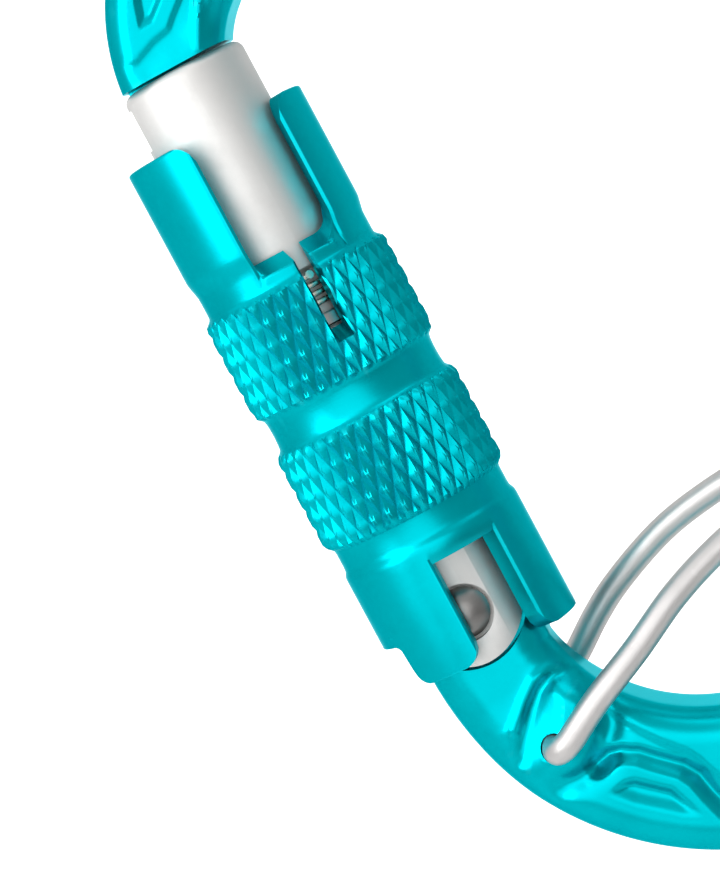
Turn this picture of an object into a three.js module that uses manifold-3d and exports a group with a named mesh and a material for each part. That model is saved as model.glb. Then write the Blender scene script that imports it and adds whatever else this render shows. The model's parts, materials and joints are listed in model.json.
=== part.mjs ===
// Locking carabiner: pear-shaped frame, keylock gate with an auto-locking sleeve, and a wire keeper.
//
// Units are millimetres, +Z up, +X from the gate towards the spine, +Y through the thickness.
// Drawing coordinates put the gate's hinge at (0, 0, 0). The outer group then moves the whole
// part so that its origin is the crown seat, the highest point inside the wide bow.
// Gate coordinates turn with the leaning gate: local X points into the eye, local Z up the gate.

import * as THREE from 'three';
import Module from 'manifold-3d';
import { mergeVertices } from 'three/addons/utils/BufferGeometryUtils.js';

const wasm = await Module();
wasm.setup();

const DEG = Math.PI / 180;
const GAP = 0.3; // clearance kept between neighbouring pieces
const ROUND_SIDES = 40; // facets round a turned part
const NEAR = 0.02; // outline points closer than this are one point

// Gate line
const GATE_LEAN = 28.4 * DEG;
const GATE_TOP = 47.8; // gate tip above the hinge
const NOSE_FACE = 48.15;

// Frame outline: two bows, a nose hook and a straight spine
const BODY_HALF = 4.8; // half thickness of the forged section
const BODY_ROUND = 2.3; // rounding of its long edges
const LOW_OUT = { x: 19.35, z: 6.25, r: 25.2 };
const LOW_IN = { x: 17.8, z: 6.9, r: 14.4 };
const NOSE_OUT = { x: -10.7, z: 46.8, r: 17.6 };
const NOSE_IN = { x: -10.6, z: 44.1, r: 8.3 };
const CROWN_OUT_R = 44;
const CROWN_IN_R = 35.5;
const CORNER_OUT_R = 24;
const CORNER_IN_R = 14;
const SPINE_OUT_X = LOW_OUT.x + LOW_OUT.r;
const SPINE_IN_X = 34;
const SPINE_IN_LOW_Z = 28; // the spine's inner face starts to swell below this height
const NOSE_TURN = 160 * DEG; // where the nose hook passes into the crown arc
const NOSE_OUT_END = 204 * DEG;
const NOSE_IN_END = 180 * DEG;
const SPARE = 5; // straight stock beyond each end of the bow, cut away by the gate's space

// Neck, tang and shoulder below the gate
const NECK = { outer: -5.2, inner: 4.8, u: -4.7 };
const SHOULDER_U = -2.2;
const NECK_HALF = 4.3; // half thickness inside the sleeve's skirt
const NECK_HALF_WIDTH = 5.1;
const NECK_START_U = -7.5;
const TANG_HALF = 2;
const TANG_R = 4.3;
const CAM_U = 3.6; // flat on the tang that the plunger presses
const EAR_R = 4.6;
const EAR_CENTRE_U = 0.3;

// Keylock tongue on the nose
const TONGUE = { inner: 0.9, outer: -4.4, foot: 44.8, waist: 46.3, headHalf: 1.9, stemHalf: 1.1 };

// Gate barrel
const BARREL_R = 5.2;
const STEM_R = 4.55;
const LOWER_R = 4.9;
const STEM_LOW = 24;
const STEM_TOP = 29.5;
const BORE_R = 1.85;
const BORE_TOP = 16;
const RIVET_R = 1.6;
const RIVET_HEAD_R = 2.05;
const RIVET_HEAD_Y = 4.2;
const RIVET_DOME_Y = 4.95;
const PLUNGER = { r: 1.5, low: 3.95, top: 8 };

// Locking sleeve
const SLEEVE_BORE = 5.65;
const SLEEVE_LOWER_BORE = 5.2;
const SLEEVE_LEDGE = 24.4;
const SKIRT_BORE = 5.75; // wider round the frame's neck
const SKIRT_R = 7.6;
const SKIRT_LOW = -3.9;
const WAIST_R = 7.34;
const KNURL_R = 8;
const PRONG_R = 7.62;
const PRONG_TOP = 42.4;
const WIDE_SLOT = { from: -10, to: 50, floor: 30.5 };
const NARROW_SLOT = { at: 18.75, width: 1.35, floor: 23.4 };
const WINDOW = { from: 0, to: 45, top: 4.8 };
const SKIRT_CUT = { from: 100, to: 313, top: 0 }; // the skirt is short behind and outside
const GUIDE_PIN = { at: 180, u: 12, r: 0.9, low: 2.9, tip: 6.1 };
const SLEEVE_LIFT = 1.6;
const SLEEVE_TURN = 90;
const THRUST_RING = { inner: 4.85, outer: 5.38, low: 24.7, top: 25.8 };

// Springs: coil radius, wire radius, pitch and first coil height
const SLEEVE_SPRING = { r: 5.1, wire: 0.25, pitch: 0.65, turns: 4, low: 26.35 };
const RETURN_SPRING = { r: 1.2, wire: 0.24, pitch: 0.8, turns: 8, low: 8.6 };
const COIL_STEPS = 14; // straight steps in one turn of a coil
const COIL_SIDES = 6;

// Wire keeper across the narrow bow
const WIRE_R = 1.1;
const WIRE_SIDES = 10;
const WIRE_STEPS = 78;
const PIVOT = { x: 7.3, z: -8.9, slope: 0.3 }; // hinge line: z = PIVOT.z + slope * y
const PIVOT_BORE_R = 1.45;
const PIVOT_PIN_Y = 2.8; // pin tips
const PIVOT_BORE_Y = 2.2;
const LEG_Y = 6.95;
const PIVOT_BEND = 1.35;
const BOSS = { x: 7.7, low: -12.1, high: -5.9, half: 2.7, face: 5.5, round: 0.6 };

// Leg lines from the near pivot round the tip at the spine to the far pivot
const KEEPER_ROUTE = [
  [8.5, -6.95, -9.4], [10.4, -6.85, -6.4], [13.4, -6.4, -2.4], [16.4, -5.7, 1.9], [19.5, -4.9, 5.3],
  [24, -3.8, 9.2], [27.8, -2.9, 11.9], [30.4, -1.9, 13.6], [31.2, 0, 14.6],
  [30.4, 1.9, 15.2], [27.8, 2.9, 14.1], [24, 3.8, 11.8], [18.8, 4.9, 8.3], [15.2, 5.7, 5.2],
  [11.5, 6.5, 0.6], [9.9, 6.85, -2.1], [8.4, 6.95, -5.2],
];

const MATERIALS = {
  anodised: { color: 0x00a9b8, roughness: 0.32, metalness: 0.85 },
  satin: { color: 0xdad8d2, roughness: 0.38, metalness: 0.7 },
  rivet: { color: 0x8b8b8a, roughness: 0.42, metalness: 0.9 },
  steel: { color: 0xb9b4b2, roughness: 0.25, metalness: 1 },
  spring: { color: 0x5e5b55, roughness: 0.35, metalness: 1 },
};

// ---------------------------------------------------------------- solids

function signedVolume(positions, indices) {
  const a = new THREE.Vector3();
  const b = new THREE.Vector3();
  const c = new THREE.Vector3();
  let volume = 0;
  for (let i = 0; i < indices.length; i += 3) {
    a.fromArray(positions, 3 * indices[i]);
    b.fromArray(positions, 3 * indices[i + 1]);
    c.fromArray(positions, 3 * indices[i + 2]);
    volume += a.dot(b.cross(c)) / 6;
  }
  return volume;
}

// Turns a closed geometry into a solid, with its faces pointing out.
function solid(geometry) {
  geometry.deleteAttribute('normal');
  geometry.deleteAttribute('uv');
  const merged = mergeVertices(geometry);
  const positions = merged.attributes.position.array;
  const triangles = [];
  for (let i = 0; i < merged.index.count; i += 3) {
    const corners = [merged.index.getX(i), merged.index.getX(i + 1), merged.index.getX(i + 2)];
    if (new Set(corners).size === 3) triangles.push(...corners);
  }
  if (signedVolume(positions, triangles) < 0) triangles.reverse();
  const vertProperties = Float32Array.from(positions);
  const triVerts = Uint32Array.from(triangles);
  return new wasm.Manifold(new wasm.Mesh({ numProp: 3, vertProperties, triVerts }));
}

function geometryOf(manifold) {
  const mesh = manifold.getMesh();
  const geometry = new THREE.BufferGeometry();
  geometry.setAttribute('position', new THREE.BufferAttribute(mesh.vertProperties, 3));
  geometry.setIndex(new THREE.BufferAttribute(mesh.triVerts, 1));
  return geometry;
}

function piece(name, manifold, finish) {
  const mesh = new THREE.Mesh(geometryOf(manifold), new THREE.MeshStandardMaterial(finish));
  mesh.name = name;
  return mesh;
}

// A box between two corners.
function block(low, high) {
  const size = high.map((value, axis) => value - low[axis]);
  const centre = high.map((value, axis) => (value + low[axis]) / 2);
  return solid(new THREE.BoxGeometry(...size).translate(...centre));
}

// A cylinder along Y, centred at (x, z), from y = low to y = high.
function crossPin(x, z, radius, low, high) {
  const geometry = new THREE.CylinderGeometry(radius, radius, high - low, ROUND_SIDES);
  return solid(geometry.translate(x, (low + high) / 2, z));
}

// A cylinder along Z.
function postZ(radius, low, high) {
  const geometry = new THREE.CylinderGeometry(radius, radius, high - low, ROUND_SIDES).rotateX(90 * DEG);
  return solid(geometry.translate(0, 0, (low + high) / 2));
}

// Turns a profile of [radius, height] points about Z.
function turned(profile) {
  const points = profile.map(([radius, height]) => new THREE.Vector2(radius, height));
  return solid(new THREE.LatheGeometry(points, ROUND_SIDES).rotateX(90 * DEG));
}

function mirroredInY(manifold) {
  return manifold.mirror([0, 1, 0]);
}

// The outline's points, without the doubled ones where two curves meet.
function cleanOutline(shape, curveSegments) {
  const points = shape.getPoints(curveSegments);
  const apart = points.filter((point, i) => point.distanceTo(points.at(i - 1)) > NEAR);
  return new THREE.Shape(apart);
}

// A plate: an outline in X and Z, thickened along Y, with rounded long edges.
function plate(shape, low, high, round, curveSegments) {
  const geometry = new THREE.ExtrudeGeometry(cleanOutline(shape, curveSegments), {
    depth: high - low - 2 * round,
    bevelThickness: round,
    bevelSize: round,
    bevelOffset: -round,
    bevelSegments: 2,
  });
  return solid(geometry.rotateX(90 * DEG).translate(0, high - round, 0));
}

// A sector of a ring about Z. Angles are from -Y, towards +X, in degrees.
function ringSector(inner, outer, from, to, low, high) {
  const start = (from - 90) * DEG;
  const end = (to - 90) * DEG;
  const shape = new THREE.Shape();
  shape.absarc(0, 0, outer, start, end, false);
  shape.absarc(0, 0, inner, end, start, true);
  shape.closePath();
  const options = { depth: high - low, bevelEnabled: false, curveSegments: 14 };
  return solid(new THREE.ExtrudeGeometry(shape, options).translate(0, 0, low));
}

// A round wire along a curve, closed at both ends.
function wire(curve, radius, sides, steps) {
  const section = new THREE.Shape().absarc(0, 0, radius, 0, 2 * Math.PI, false);
  const options = { steps, extrudePath: curve, bevelEnabled: false, curveSegments: sides / 2 };
  return solid(new THREE.ExtrudeGeometry(section, options));
}

class Coil extends THREE.Curve {
  constructor({ r, pitch, turns, low }) {
    super();
    Object.assign(this, { r, pitch, turns, low });
  }

  getPoint(t, target = new THREE.Vector3()) {
    const turn = 2 * Math.PI * this.turns * t;
    const height = this.low + this.pitch * this.turns * t;
    return target.set(this.r * Math.cos(turn), this.r * Math.sin(turn), height);
  }
}

function coil(spring) {
  return wire(new Coil(spring), spring.wire, COIL_SIDES, COIL_STEPS * spring.turns);
}

// ---------------------------------------------------------------- frame

// Drawing coordinates (x, z) of a point across and along the gate line.
function onGate(across, along) {
  const cos = Math.cos(GATE_LEAN);
  const sin = Math.sin(GATE_LEAN);
  return new THREE.Vector2(across * cos - along * sin, across * sin + along * cos);
}

function angleFrom(circle, point) {
  return Math.atan2(point.y - circle.z, point.x - circle.x);
}

// The crown arc continues the nose hook, and the corner arc joins it to the upright spine.
function crownArcs(nose, crownR, cornerR, spineX) {
  const reach = crownR - nose.r;
  const crown = {
    x: nose.x - reach * Math.cos(NOSE_TURN),
    z: nose.z - reach * Math.sin(NOSE_TURN),
    r: crownR,
  };
  const cornerX = spineX - cornerR;
  const turn = Math.acos((cornerX - crown.x) / (crownR - cornerR));
  const corner = { x: cornerX, z: crown.z + (crownR - cornerR) * Math.sin(turn), r: cornerR };
  return { crown, corner, turn };
}

const OUTER = crownArcs(NOSE_OUT, CROWN_OUT_R, CORNER_OUT_R, SPINE_OUT_X);
const INNER = crownArcs(NOSE_IN, CROWN_IN_R, CORNER_IN_R, SPINE_IN_X);

function arc(shape, circle, from, to, clockwise) {
  shape.absarc(circle.x, circle.z, circle.r, from, to, clockwise);
}

function lineTo(shape, point) {
  shape.lineTo(point.x, point.y);
}

// The point `distance` further along a circle's tangent, met at `angle` while turning anticlockwise.
function tangentPoint(circle, angle, distance) {
  const x = circle.x + circle.r * Math.cos(angle) - distance * Math.sin(angle);
  const z = circle.z + circle.r * Math.sin(angle) + distance * Math.cos(angle);
  return new THREE.Vector2(x, z);
}

function frameOutline() {
  const neckOuter = onGate(NECK.outer, NECK.u);
  const neckInner = onGate(NECK.inner, NECK.u);
  const shape = new THREE.Shape();
  arc(shape, LOW_OUT, angleFrom(LOW_OUT, neckOuter), 0, false);
  arc(shape, OUTER.corner, 0, OUTER.turn, false);
  arc(shape, OUTER.crown, OUTER.turn, NOSE_TURN, false);
  arc(shape, NOSE_OUT, NOSE_TURN, NOSE_OUT_END, false);
  lineTo(shape, tangentPoint(NOSE_OUT, NOSE_OUT_END, SPARE));
  lineTo(shape, tangentPoint(NOSE_IN, NOSE_IN_END, SPARE));
  arc(shape, NOSE_IN, NOSE_IN_END, NOSE_TURN, true);
  arc(shape, INNER.crown, NOSE_TURN, INNER.turn, true);
  arc(shape, INNER.corner, INNER.turn, 0, true);
  shape.lineTo(SPINE_IN_X, SPINE_IN_LOW_Z);
  const lowEnd = LOW_IN.x + LOW_IN.r;
  const third = (SPINE_IN_LOW_Z - LOW_IN.z) / 3;
  shape.bezierCurveTo(SPINE_IN_X, SPINE_IN_LOW_Z - third, lowEnd, LOW_IN.z + third, lowEnd, LOW_IN.z);
  arc(shape, LOW_IN, 0, angleFrom(LOW_IN, neckInner), true);
  lineTo(shape, onGate(NECK.inner, SPARE));
  lineTo(shape, onGate(NECK.outer, SPARE));
  shape.closePath();
  return shape;
}

// Places a solid made in gate coordinates on the leaning gate line.
function leaned(manifold) {
  return manifold.rotate([0, -GATE_LEAN / DEG, 0]);
}

// Everything that the gate's ears, the skirt and the barrel need cut away, in gate coordinates.
function gateSpace() {
  const far = 12;
  const eyeSide = 9; // the neck's cut stops here, clear of the narrow bow
  const barrelSpace = block([-far, -far, SHOULDER_U], [far, far, NOSE_FACE]);
  const earSeat = crossPin(0, EAR_CENTRE_U, EAR_R + GAP, -far, far);
  const neckPost = new THREE.CylinderGeometry(1, 1, 2 * far, ROUND_SIDES).rotateX(90 * DEG);
  const neck = solid(neckPost.scale(NECK_HALF_WIDTH, NECK_HALF, 1));
  const aroundNeck = block([-far, -far, NECK_START_U], [eyeSide, far, 0]).subtract(neck);
  return barrelSpace.add(earSeat).add(aroundNeck);
}

// The tang: a round tongue about the hinge, with a flat for the plunger and the rivet's hole.
function tang() {
  return crossPin(0, 0, TANG_R, -TANG_HALF, TANG_HALF)
    .add(block([NECK.outer + 0.1, -TANG_HALF, -6], [NECK.inner, TANG_HALF, SHOULDER_U + 0.3]))
    .add(block([-TANG_R, -TANG_HALF, SHOULDER_U], [TANG_R, TANG_HALF, 0]))
    .subtract(block([-TANG_R, -TANG_HALF - 1, CAM_U], [TANG_R, TANG_HALF + 1, TANG_R + 1]))
    .subtract(crossPin(0, 0, RIVET_R + GAP, -TANG_HALF - 1, TANG_HALF + 1));
}

function keylockTongue() {
  const { inner, outer, foot, waist, headHalf, stemHalf } = TONGUE;
  const head = block([outer, -headHalf, foot], [inner, headHalf, waist]);
  const stem = block([outer, -stemHalf, waist - 0.2], [inner, stemHalf, NOSE_FACE + 1]);
  return head.add(stem);
}

function keeperBoss() {
  const shape = new THREE.Shape();
  shape.absarc(BOSS.x, BOSS.low + BOSS.half, BOSS.half, -180 * DEG, 0, false);
  shape.absarc(BOSS.x, BOSS.high - BOSS.half, BOSS.half, 0, 180 * DEG, false);
  shape.closePath();
  return plate(shape, -BOSS.face, BOSS.face, BOSS.round, 6);
}

const PIVOT_AXIS = new THREE.Vector3(0, 1, PIVOT.slope).normalize();

function pivotPoint(y) {
  return new THREE.Vector3(PIVOT.x, y, PIVOT.z + PIVOT.slope * y);
}

// The two blind bores on the slanted hinge line of the keeper.
function keeperBores() {
  const bores = [-1, 1].map((side) => {
    const line = new THREE.LineCurve3(pivotPoint(side * PIVOT_BORE_Y), pivotPoint(side * 9));
    return wire(line, PIVOT_BORE_R, 20, 1);
  });
  return bores[0].add(bores[1]);
}

function frameBody() {
  const body = plate(frameOutline(), -BODY_HALF, BODY_HALF, BODY_ROUND, 9);
  return body
    .subtract(leaned(gateSpace()))
    .add(leaned(tang()))
    .add(leaned(keylockTongue()))
    .add(keeperBoss())
    .subtract(keeperBores());
}

// ---------------------------------------------------------------- gate, in gate coordinates

function guidePinHole() {
  const { u, r, low } = GUIDE_PIN;
  return crossPin(0, u, r + GAP, low - GAP, 8);
}

function gateBarrel() {
  const body = turned([
    [0, -5], [LOWER_R, -5], [LOWER_R, STEM_LOW], [STEM_R, STEM_LOW + 0.3], [STEM_R, STEM_TOP - 0.3],
    [BARREL_R, STEM_TOP], [BARREL_R, GATE_TOP - 0.8], [BARREL_R - 0.25, GATE_TOP - 0.25],
    [BARREL_R - 0.8, GATE_TOP], [0, GATE_TOP],
  ]);
  const ears = crossPin(0, EAR_CENTRE_U, EAR_R, -7, 7).add(block([-6, -7, EAR_CENTRE_U], [6, 7, 50]));
  const slotHalf = TANG_HALF + GAP;
  const tangSlot = block([-7, -slotHalf, -6], [7, slotHalf, 1.2])
    .add(crossPin(0, 0, TANG_R + 0.45, -slotHalf, slotHalf));
  const headSeat = crossPin(0, 0, RIVET_HEAD_R + GAP, RIVET_HEAD_Y - GAP, 7);
  const { inner, foot, waist, headHalf, stemHalf } = TONGUE;
  const nosePocket = block([-7, -headHalf - GAP, foot - 1.6], [inner + 0.6, headHalf + GAP, waist + 0.4])
    .add(block([-7, -stemHalf - GAP, waist], [inner + 0.6, stemHalf + GAP, 50]));
  return body
    .intersect(ears)
    .subtract(tangSlot)
    .subtract(crossPin(0, 0, RIVET_R + GAP, -7, 7))
    .subtract(headSeat)
    .subtract(mirroredInY(headSeat))
    .subtract(postZ(BORE_R, 3, BORE_TOP))
    .subtract(guidePinHole())
    .subtract(nosePocket);
}

function hingeRivet() {
  const half = [[0, 0], [RIVET_R, 0], [RIVET_R, RIVET_HEAD_Y], [RIVET_HEAD_R, RIVET_HEAD_Y],
    [RIVET_HEAD_R, RIVET_HEAD_Y + 0.35], [RIVET_HEAD_R * 0.6, RIVET_DOME_Y - 0.1], [0, RIVET_DOME_Y]];
  const upper = turned(half).rotate([-90, 0, 0]);
  return upper.add(mirroredInY(upper));
}

function gatePlunger() {
  const { r, low, top } = PLUNGER;
  return turned([[0, low], [r * 0.6, low + 0.15], [r, low + 0.8], [r, top], [0, top]]);
}

function thrustRing() {
  const { inner, outer, low, top } = THRUST_RING;
  return turned([[inner, low], [outer, low], [outer, top], [inner, top], [inner, low]]);
}

function guidePin() {
  const { u, r, low, tip } = GUIDE_PIN;
  return turned([[0, low], [r, low], [r, tip - 0.3], [r - 0.3, tip], [0, tip]])
    .rotate([-90, 0, 0])
    .translate([0, 0, u]);
}

// ---------------------------------------------------------------- sleeve, in gate coordinates

function sleeveBlank() {
  return turned([
    [SKIRT_BORE, SKIRT_LOW], [SKIRT_R, SKIRT_LOW], [SKIRT_R, 6.4], [WAIST_R, 6.8], [WAIST_R, 8.8],
    [KNURL_R, 9.3], [KNURL_R, 17.1], [WAIST_R, 17.7], [WAIST_R - 0.06, 19.1], [WAIST_R, 20.4],
    [KNURL_R, 20.9], [KNURL_R, 28.9], [WAIST_R, 29.4], [WAIST_R, 31.4], [PRONG_R, 32.7],
    [PRONG_R, PRONG_TOP - 0.3], [PRONG_R - 0.3, PRONG_TOP], [SLEEVE_BORE, PRONG_TOP],
    [SLEEVE_BORE, SLEEVE_LEDGE], [SLEEVE_LOWER_BORE, SLEEVE_LEDGE], [SLEEVE_LOWER_BORE, 6],
    [SKIRT_BORE, 5.6], [SKIRT_BORE, SKIRT_LOW],
  ]);
}

function lockingSleeve() {
  const { at, width, floor } = NARROW_SLOT;
  const narrow = block([-width / 2, -10, floor], [width / 2, -4, WIDE_SLOT.floor + 1]).rotate([0, 0, at]);
  const pinSwing = 13;
  const pin = GUIDE_PIN;
  const pocketLow = pin.u - pin.r - SLEEVE_LIFT - GAP;
  const pocketTop = pin.u + pin.r + GAP;
  const pocket = ringSector(4.8, pin.tip + 0.4, pin.at - pinSwing, pin.at + SLEEVE_TURN + pinSwing,
    pocketLow, pocketTop);
  return sleeveBlank()
    .subtract(ringSector(4, 10, WIDE_SLOT.from, WIDE_SLOT.to, WIDE_SLOT.floor, PRONG_TOP + 1))
    .subtract(narrow)
    .subtract(ringSector(4, 10, WINDOW.from, WINDOW.to, SKIRT_LOW - 1, WINDOW.top))
    .subtract(ringSector(4, 10, SKIRT_CUT.from, SKIRT_CUT.to, SKIRT_LOW - 1, SKIRT_CUT.top))
    .subtract(pocket);
}

// ---------------------------------------------------------------- keeper

// Points of a round bend at a corner between two straight runs.
function bend(before, corner, after, radius) {
  const arrive = corner.clone().sub(before).normalize();
  const leave = after.clone().sub(corner).normalize();
  const turn = arrive.angleTo(leave);
  const start = corner.clone().addScaledVector(arrive, -radius * Math.tan(turn / 2));
  const inward = leave.clone().addScaledVector(arrive, -leave.dot(arrive)).normalize();
  const centre = start.clone().addScaledVector(inward, radius);
  const parts = 5;
  return Array.from({ length: parts + 1 }, (_, step) => {
    const angle = (turn * step) / parts;
    return centre.clone()
      .addScaledVector(inward, -radius * Math.cos(angle))
      .addScaledVector(arrive, radius * Math.sin(angle));
  });
}

function keeperEnd(side, legStart) {
  const tip = pivotPoint(side * PIVOT_PIN_Y);
  return [tip, ...bend(tip, pivotPoint(side * LEG_Y), legStart, PIVOT_BEND)];
}

function keeperWire() {
  const route = KEEPER_ROUTE.map((point) => new THREE.Vector3(...point));
  const near = keeperEnd(-1, route[0]);
  const far = keeperEnd(1, route[route.length - 1]).reverse();
  const curve = new THREE.CatmullRomCurve3([...near, ...route, ...far], false, 'centripetal');
  curve.arcLengthDivisions = 1200;
  return wire(curve, WIRE_R, WIRE_SIDES, WIRE_STEPS);
}

// ---------------------------------------------------------------- assembly

const gate = new THREE.Group();
gate.rotation.y = -GATE_LEAN;
gate.add(
  piece('gate_barrel', gateBarrel(), MATERIALS.satin),
  piece('hinge_rivet', hingeRivet(), MATERIALS.rivet),
  piece('gate_plunger', gatePlunger(), MATERIALS.steel),
  piece('gate_return_spring', coil(RETURN_SPRING), MATERIALS.spring),
  piece('sleeve_guide_pin', guidePin(), MATERIALS.steel),
  piece('sleeve_spring', coil(SLEEVE_SPRING), MATERIALS.spring),
  piece('sleeve_thrust_ring', thrustRing(), MATERIALS.spring),
  piece('locking_sleeve', lockingSleeve(), MATERIALS.anodised),
);

const carabiner = new THREE.Group();
carabiner.position.set(-INNER.crown.x, 0, -(INNER.crown.z + INNER.crown.r));
carabiner.add(
  piece('frame_body', frameBody(), MATERIALS.anodised),
  piece('keeper_wire', keeperWire(), MATERIALS.steel),
  gate,
);

const model = new THREE.Group();
model.add(carabiner);

export default model;
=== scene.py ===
"""Locking carabiner: anodised forged bow, pinned gate, knurled locking sleeve and sprung wire keeper."""
from __future__ import annotations

import json
import logging
import math
from dataclasses import dataclass, field
from enum import Enum
from typing import Callable, Sequence

import bpy
import numpy as np
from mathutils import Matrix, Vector


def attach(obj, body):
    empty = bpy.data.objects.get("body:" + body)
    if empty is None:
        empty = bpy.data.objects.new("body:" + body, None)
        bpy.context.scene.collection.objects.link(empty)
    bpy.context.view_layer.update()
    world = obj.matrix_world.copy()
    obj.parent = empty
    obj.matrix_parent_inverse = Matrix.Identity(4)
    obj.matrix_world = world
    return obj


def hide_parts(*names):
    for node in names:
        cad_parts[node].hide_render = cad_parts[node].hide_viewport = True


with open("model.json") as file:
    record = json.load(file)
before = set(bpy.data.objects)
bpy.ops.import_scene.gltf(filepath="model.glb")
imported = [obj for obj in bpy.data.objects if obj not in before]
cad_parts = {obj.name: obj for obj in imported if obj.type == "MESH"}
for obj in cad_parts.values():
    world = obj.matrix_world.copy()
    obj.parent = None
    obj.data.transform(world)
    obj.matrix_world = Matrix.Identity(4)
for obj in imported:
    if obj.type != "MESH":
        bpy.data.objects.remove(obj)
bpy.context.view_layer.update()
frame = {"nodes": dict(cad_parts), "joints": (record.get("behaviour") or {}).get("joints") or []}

LOG = logging.getLogger("carabiner")
Array = np.ndarray
Place = Callable[[Array, Array, Array], Array]
MM = 0.001


# ---------------------------------------------------------------- places


@dataclass(frozen=True)
class Datum:
    """Turns drawing and gate millimetres into metres of the shared frame. The hinge is the drawing's zero."""

    hinge: Array
    along: Array
    across: Array

    @classmethod
    def from_joints(cls, joints: Sequence[dict]) -> "Datum":
        """Reads the hinge centre and the gate's long axis from the joints.

        Args:
            joints: the frame's joint rows.
        Returns:
            The datum of this carabiner.
        """
        by_name = {joint["name"]: joint for joint in joints}
        along = np.array(by_name["sleeve_slide"]["axis"], float)
        along /= np.linalg.norm(along)
        across = np.array([along[2], 0.0, -along[0]])
        return cls(np.array(by_name["gate_hinge"]["pos_m"], float), along, across)

    def drawing(self, x: Array, y: Array, z: Array) -> Array:
        """Points given in the drawing's x (to the spine), y (away) and z (up), as metres."""
        x, y, z = np.broadcast_arrays(x, y, z)
        return self.hinge + np.stack([x, y, z], -1) * MM

    def gate(self, across: Array, away: Array, along: Array) -> Array:
        """Points given across the gate, away from the near side and along the gate, as metres.

        Args:
            across: across the gate, towards the bow's inside.
            away: away from the near side.
            along: along the gate, from the hinge.
        Returns:
            Points in metres.
        """
        across, away, along = np.broadcast_arrays(across, away, along)
        flat = across[..., None] * self.across + along[..., None] * self.along
        return self.hinge + (flat + away[..., None] * np.array([0.0, 1.0, 0.0])) * MM

    def in_plane(self, across: float, along: float) -> Array:
        """Drawing x and z of a point given across and along the gate."""
        point = across * self.across + along * self.along
        return np.array([point[0], point[2]])


DATUM = Datum.from_joints(frame["joints"])


# ---------------------------------------------------------------- surfaces


@dataclass
class Shell:
    """A closed surface: points in metres, four-sided faces, flat ends with more sides, and triangles."""

    points: Array
    quads: Array
    caps: list[list[int]] = field(default_factory=list)
    triangles: Array = field(default_factory=lambda: np.zeros((0, 3), int))

    def volume(self) -> float:
        """Signed volume, summed as tetrahedra from the origin to each face's fan of triangles.

        Returns:
            The volume in cubic metres, negative when the faces point inwards.
        """
        p = self.points
        q = self.quads
        total = 0.0
        for t in (q[:, [0, 1, 2]], q[:, [0, 2, 3]], self.triangles):
            total += float(np.einsum("ij,ij->", p[t[:, 0]], np.cross(p[t[:, 1]], p[t[:, 2]])))
        for cap in self.caps:
            ring = p[cap]
            total += float(np.sum(np.cross(ring[1:-1], ring[2:]) @ ring[0]))
        return total

    def outward(self) -> "Shell":
        """The same shell with its faces turned to point outwards.

        Returns:
            A shell with outward faces.
        """
        if self.volume() >= 0:
            return self
        caps = [cap[::-1] for cap in self.caps]
        return Shell(self.points, self.quads[:, ::-1], caps, self.triangles[:, ::-1])


def joined(shells: Sequence[Shell]) -> Shell:
    """One shell that holds several, each turned outwards first.

    Args:
        shells: the parts, which may overlap.
    Returns:
        One shell with all their faces.
    """
    points, quads, caps, triangles, start = [], [], [], [], 0
    for shell in (s.outward() for s in shells):
        points.append(shell.points)
        quads.append(shell.quads + start)
        triangles.append(shell.triangles + start)
        caps += [[index + start for index in cap] for cap in shell.caps]
        start += len(shell.points)
    return Shell(np.concatenate(points), np.concatenate(quads), caps, np.concatenate(triangles))


def grid_quads(rows: int, columns: int, wrap: bool = True) -> Array:
    """Faces of a grid of points numbered row by row.

    Args:
        rows: points down the grid.
        columns: points along a row.
        wrap: whether the last column joins the first.
    Returns:
        One row of four point numbers per face, in grid order.
    """
    row = np.arange(rows - 1)[:, None] * columns
    column = np.arange(columns if wrap else columns - 1)[None, :]
    after = (column + 1) % columns
    corners = [row + column, row + after, row + columns + after, row + columns + column]
    return np.stack(np.broadcast_arrays(*corners), -1).reshape(-1, 4)


def closed_rings(points: Array) -> Shell:
    """Rings of points joined into a closed surface.

    Args:
        points: rings by points by three, in metres.
    Returns:
        A shell with a flat face on the first and the last ring.
    """
    rings, around = points.shape[:2]
    ends = [list(range(around)), list(range((rings - 1) * around, rings * around))[::-1]]
    shell = Shell(points.reshape(-1, 3), grid_quads(rings, around), [ends[0][::-1], ends[1][::-1]])
    return shell.outward()


def round_axis(profile: Array, sides: int, place: Place) -> Array:
    """Points of a profile carried round the axis, profile points by sides by three.

    Args:
        profile: rows of radius and height in millimetres.
        sides: points round.
        place: turns the two radial parts and the height into metres.
    Returns:
        Points in metres.
    """
    angle = np.linspace(0, 2 * math.pi, sides, endpoint=False)[None, :]
    radius, height = profile[:, :1], profile[:, 1:2]
    return place(radius * np.cos(angle), radius * np.sin(angle), height + 0 * angle)


def turned(profile: Array, sides: int, place: Place) -> Shell:
    """A profile of radius and height, carried round the axis: radius times cosine and sine, then the height.

    Args:
        profile: rows of radius and height in millimetres, from one end to the other.
        sides: points round.
        place: turns the two radial parts and the height into metres.
    Returns:
        A closed shell.
    """
    return closed_rings(round_axis(profile, sides, place))


def turned_ring(profile: Array, sides: int, place: Place) -> Shell:
    """A closed profile of radius and height carried round the axis, so both ways of the grid join up.

    Args:
        profile: rows of radius and height in millimetres, round the ring's section.
        sides: points round.
        place: turns the two radial parts and the height into metres.
    Returns:
        A closed shell without end faces.
    """
    points = round_axis(profile, sides, place)
    rings = len(profile)
    quads = grid_quads(rings + 1, sides) % (rings * sides)
    return Shell(points.reshape(-1, 3), quads).outward()


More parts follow.
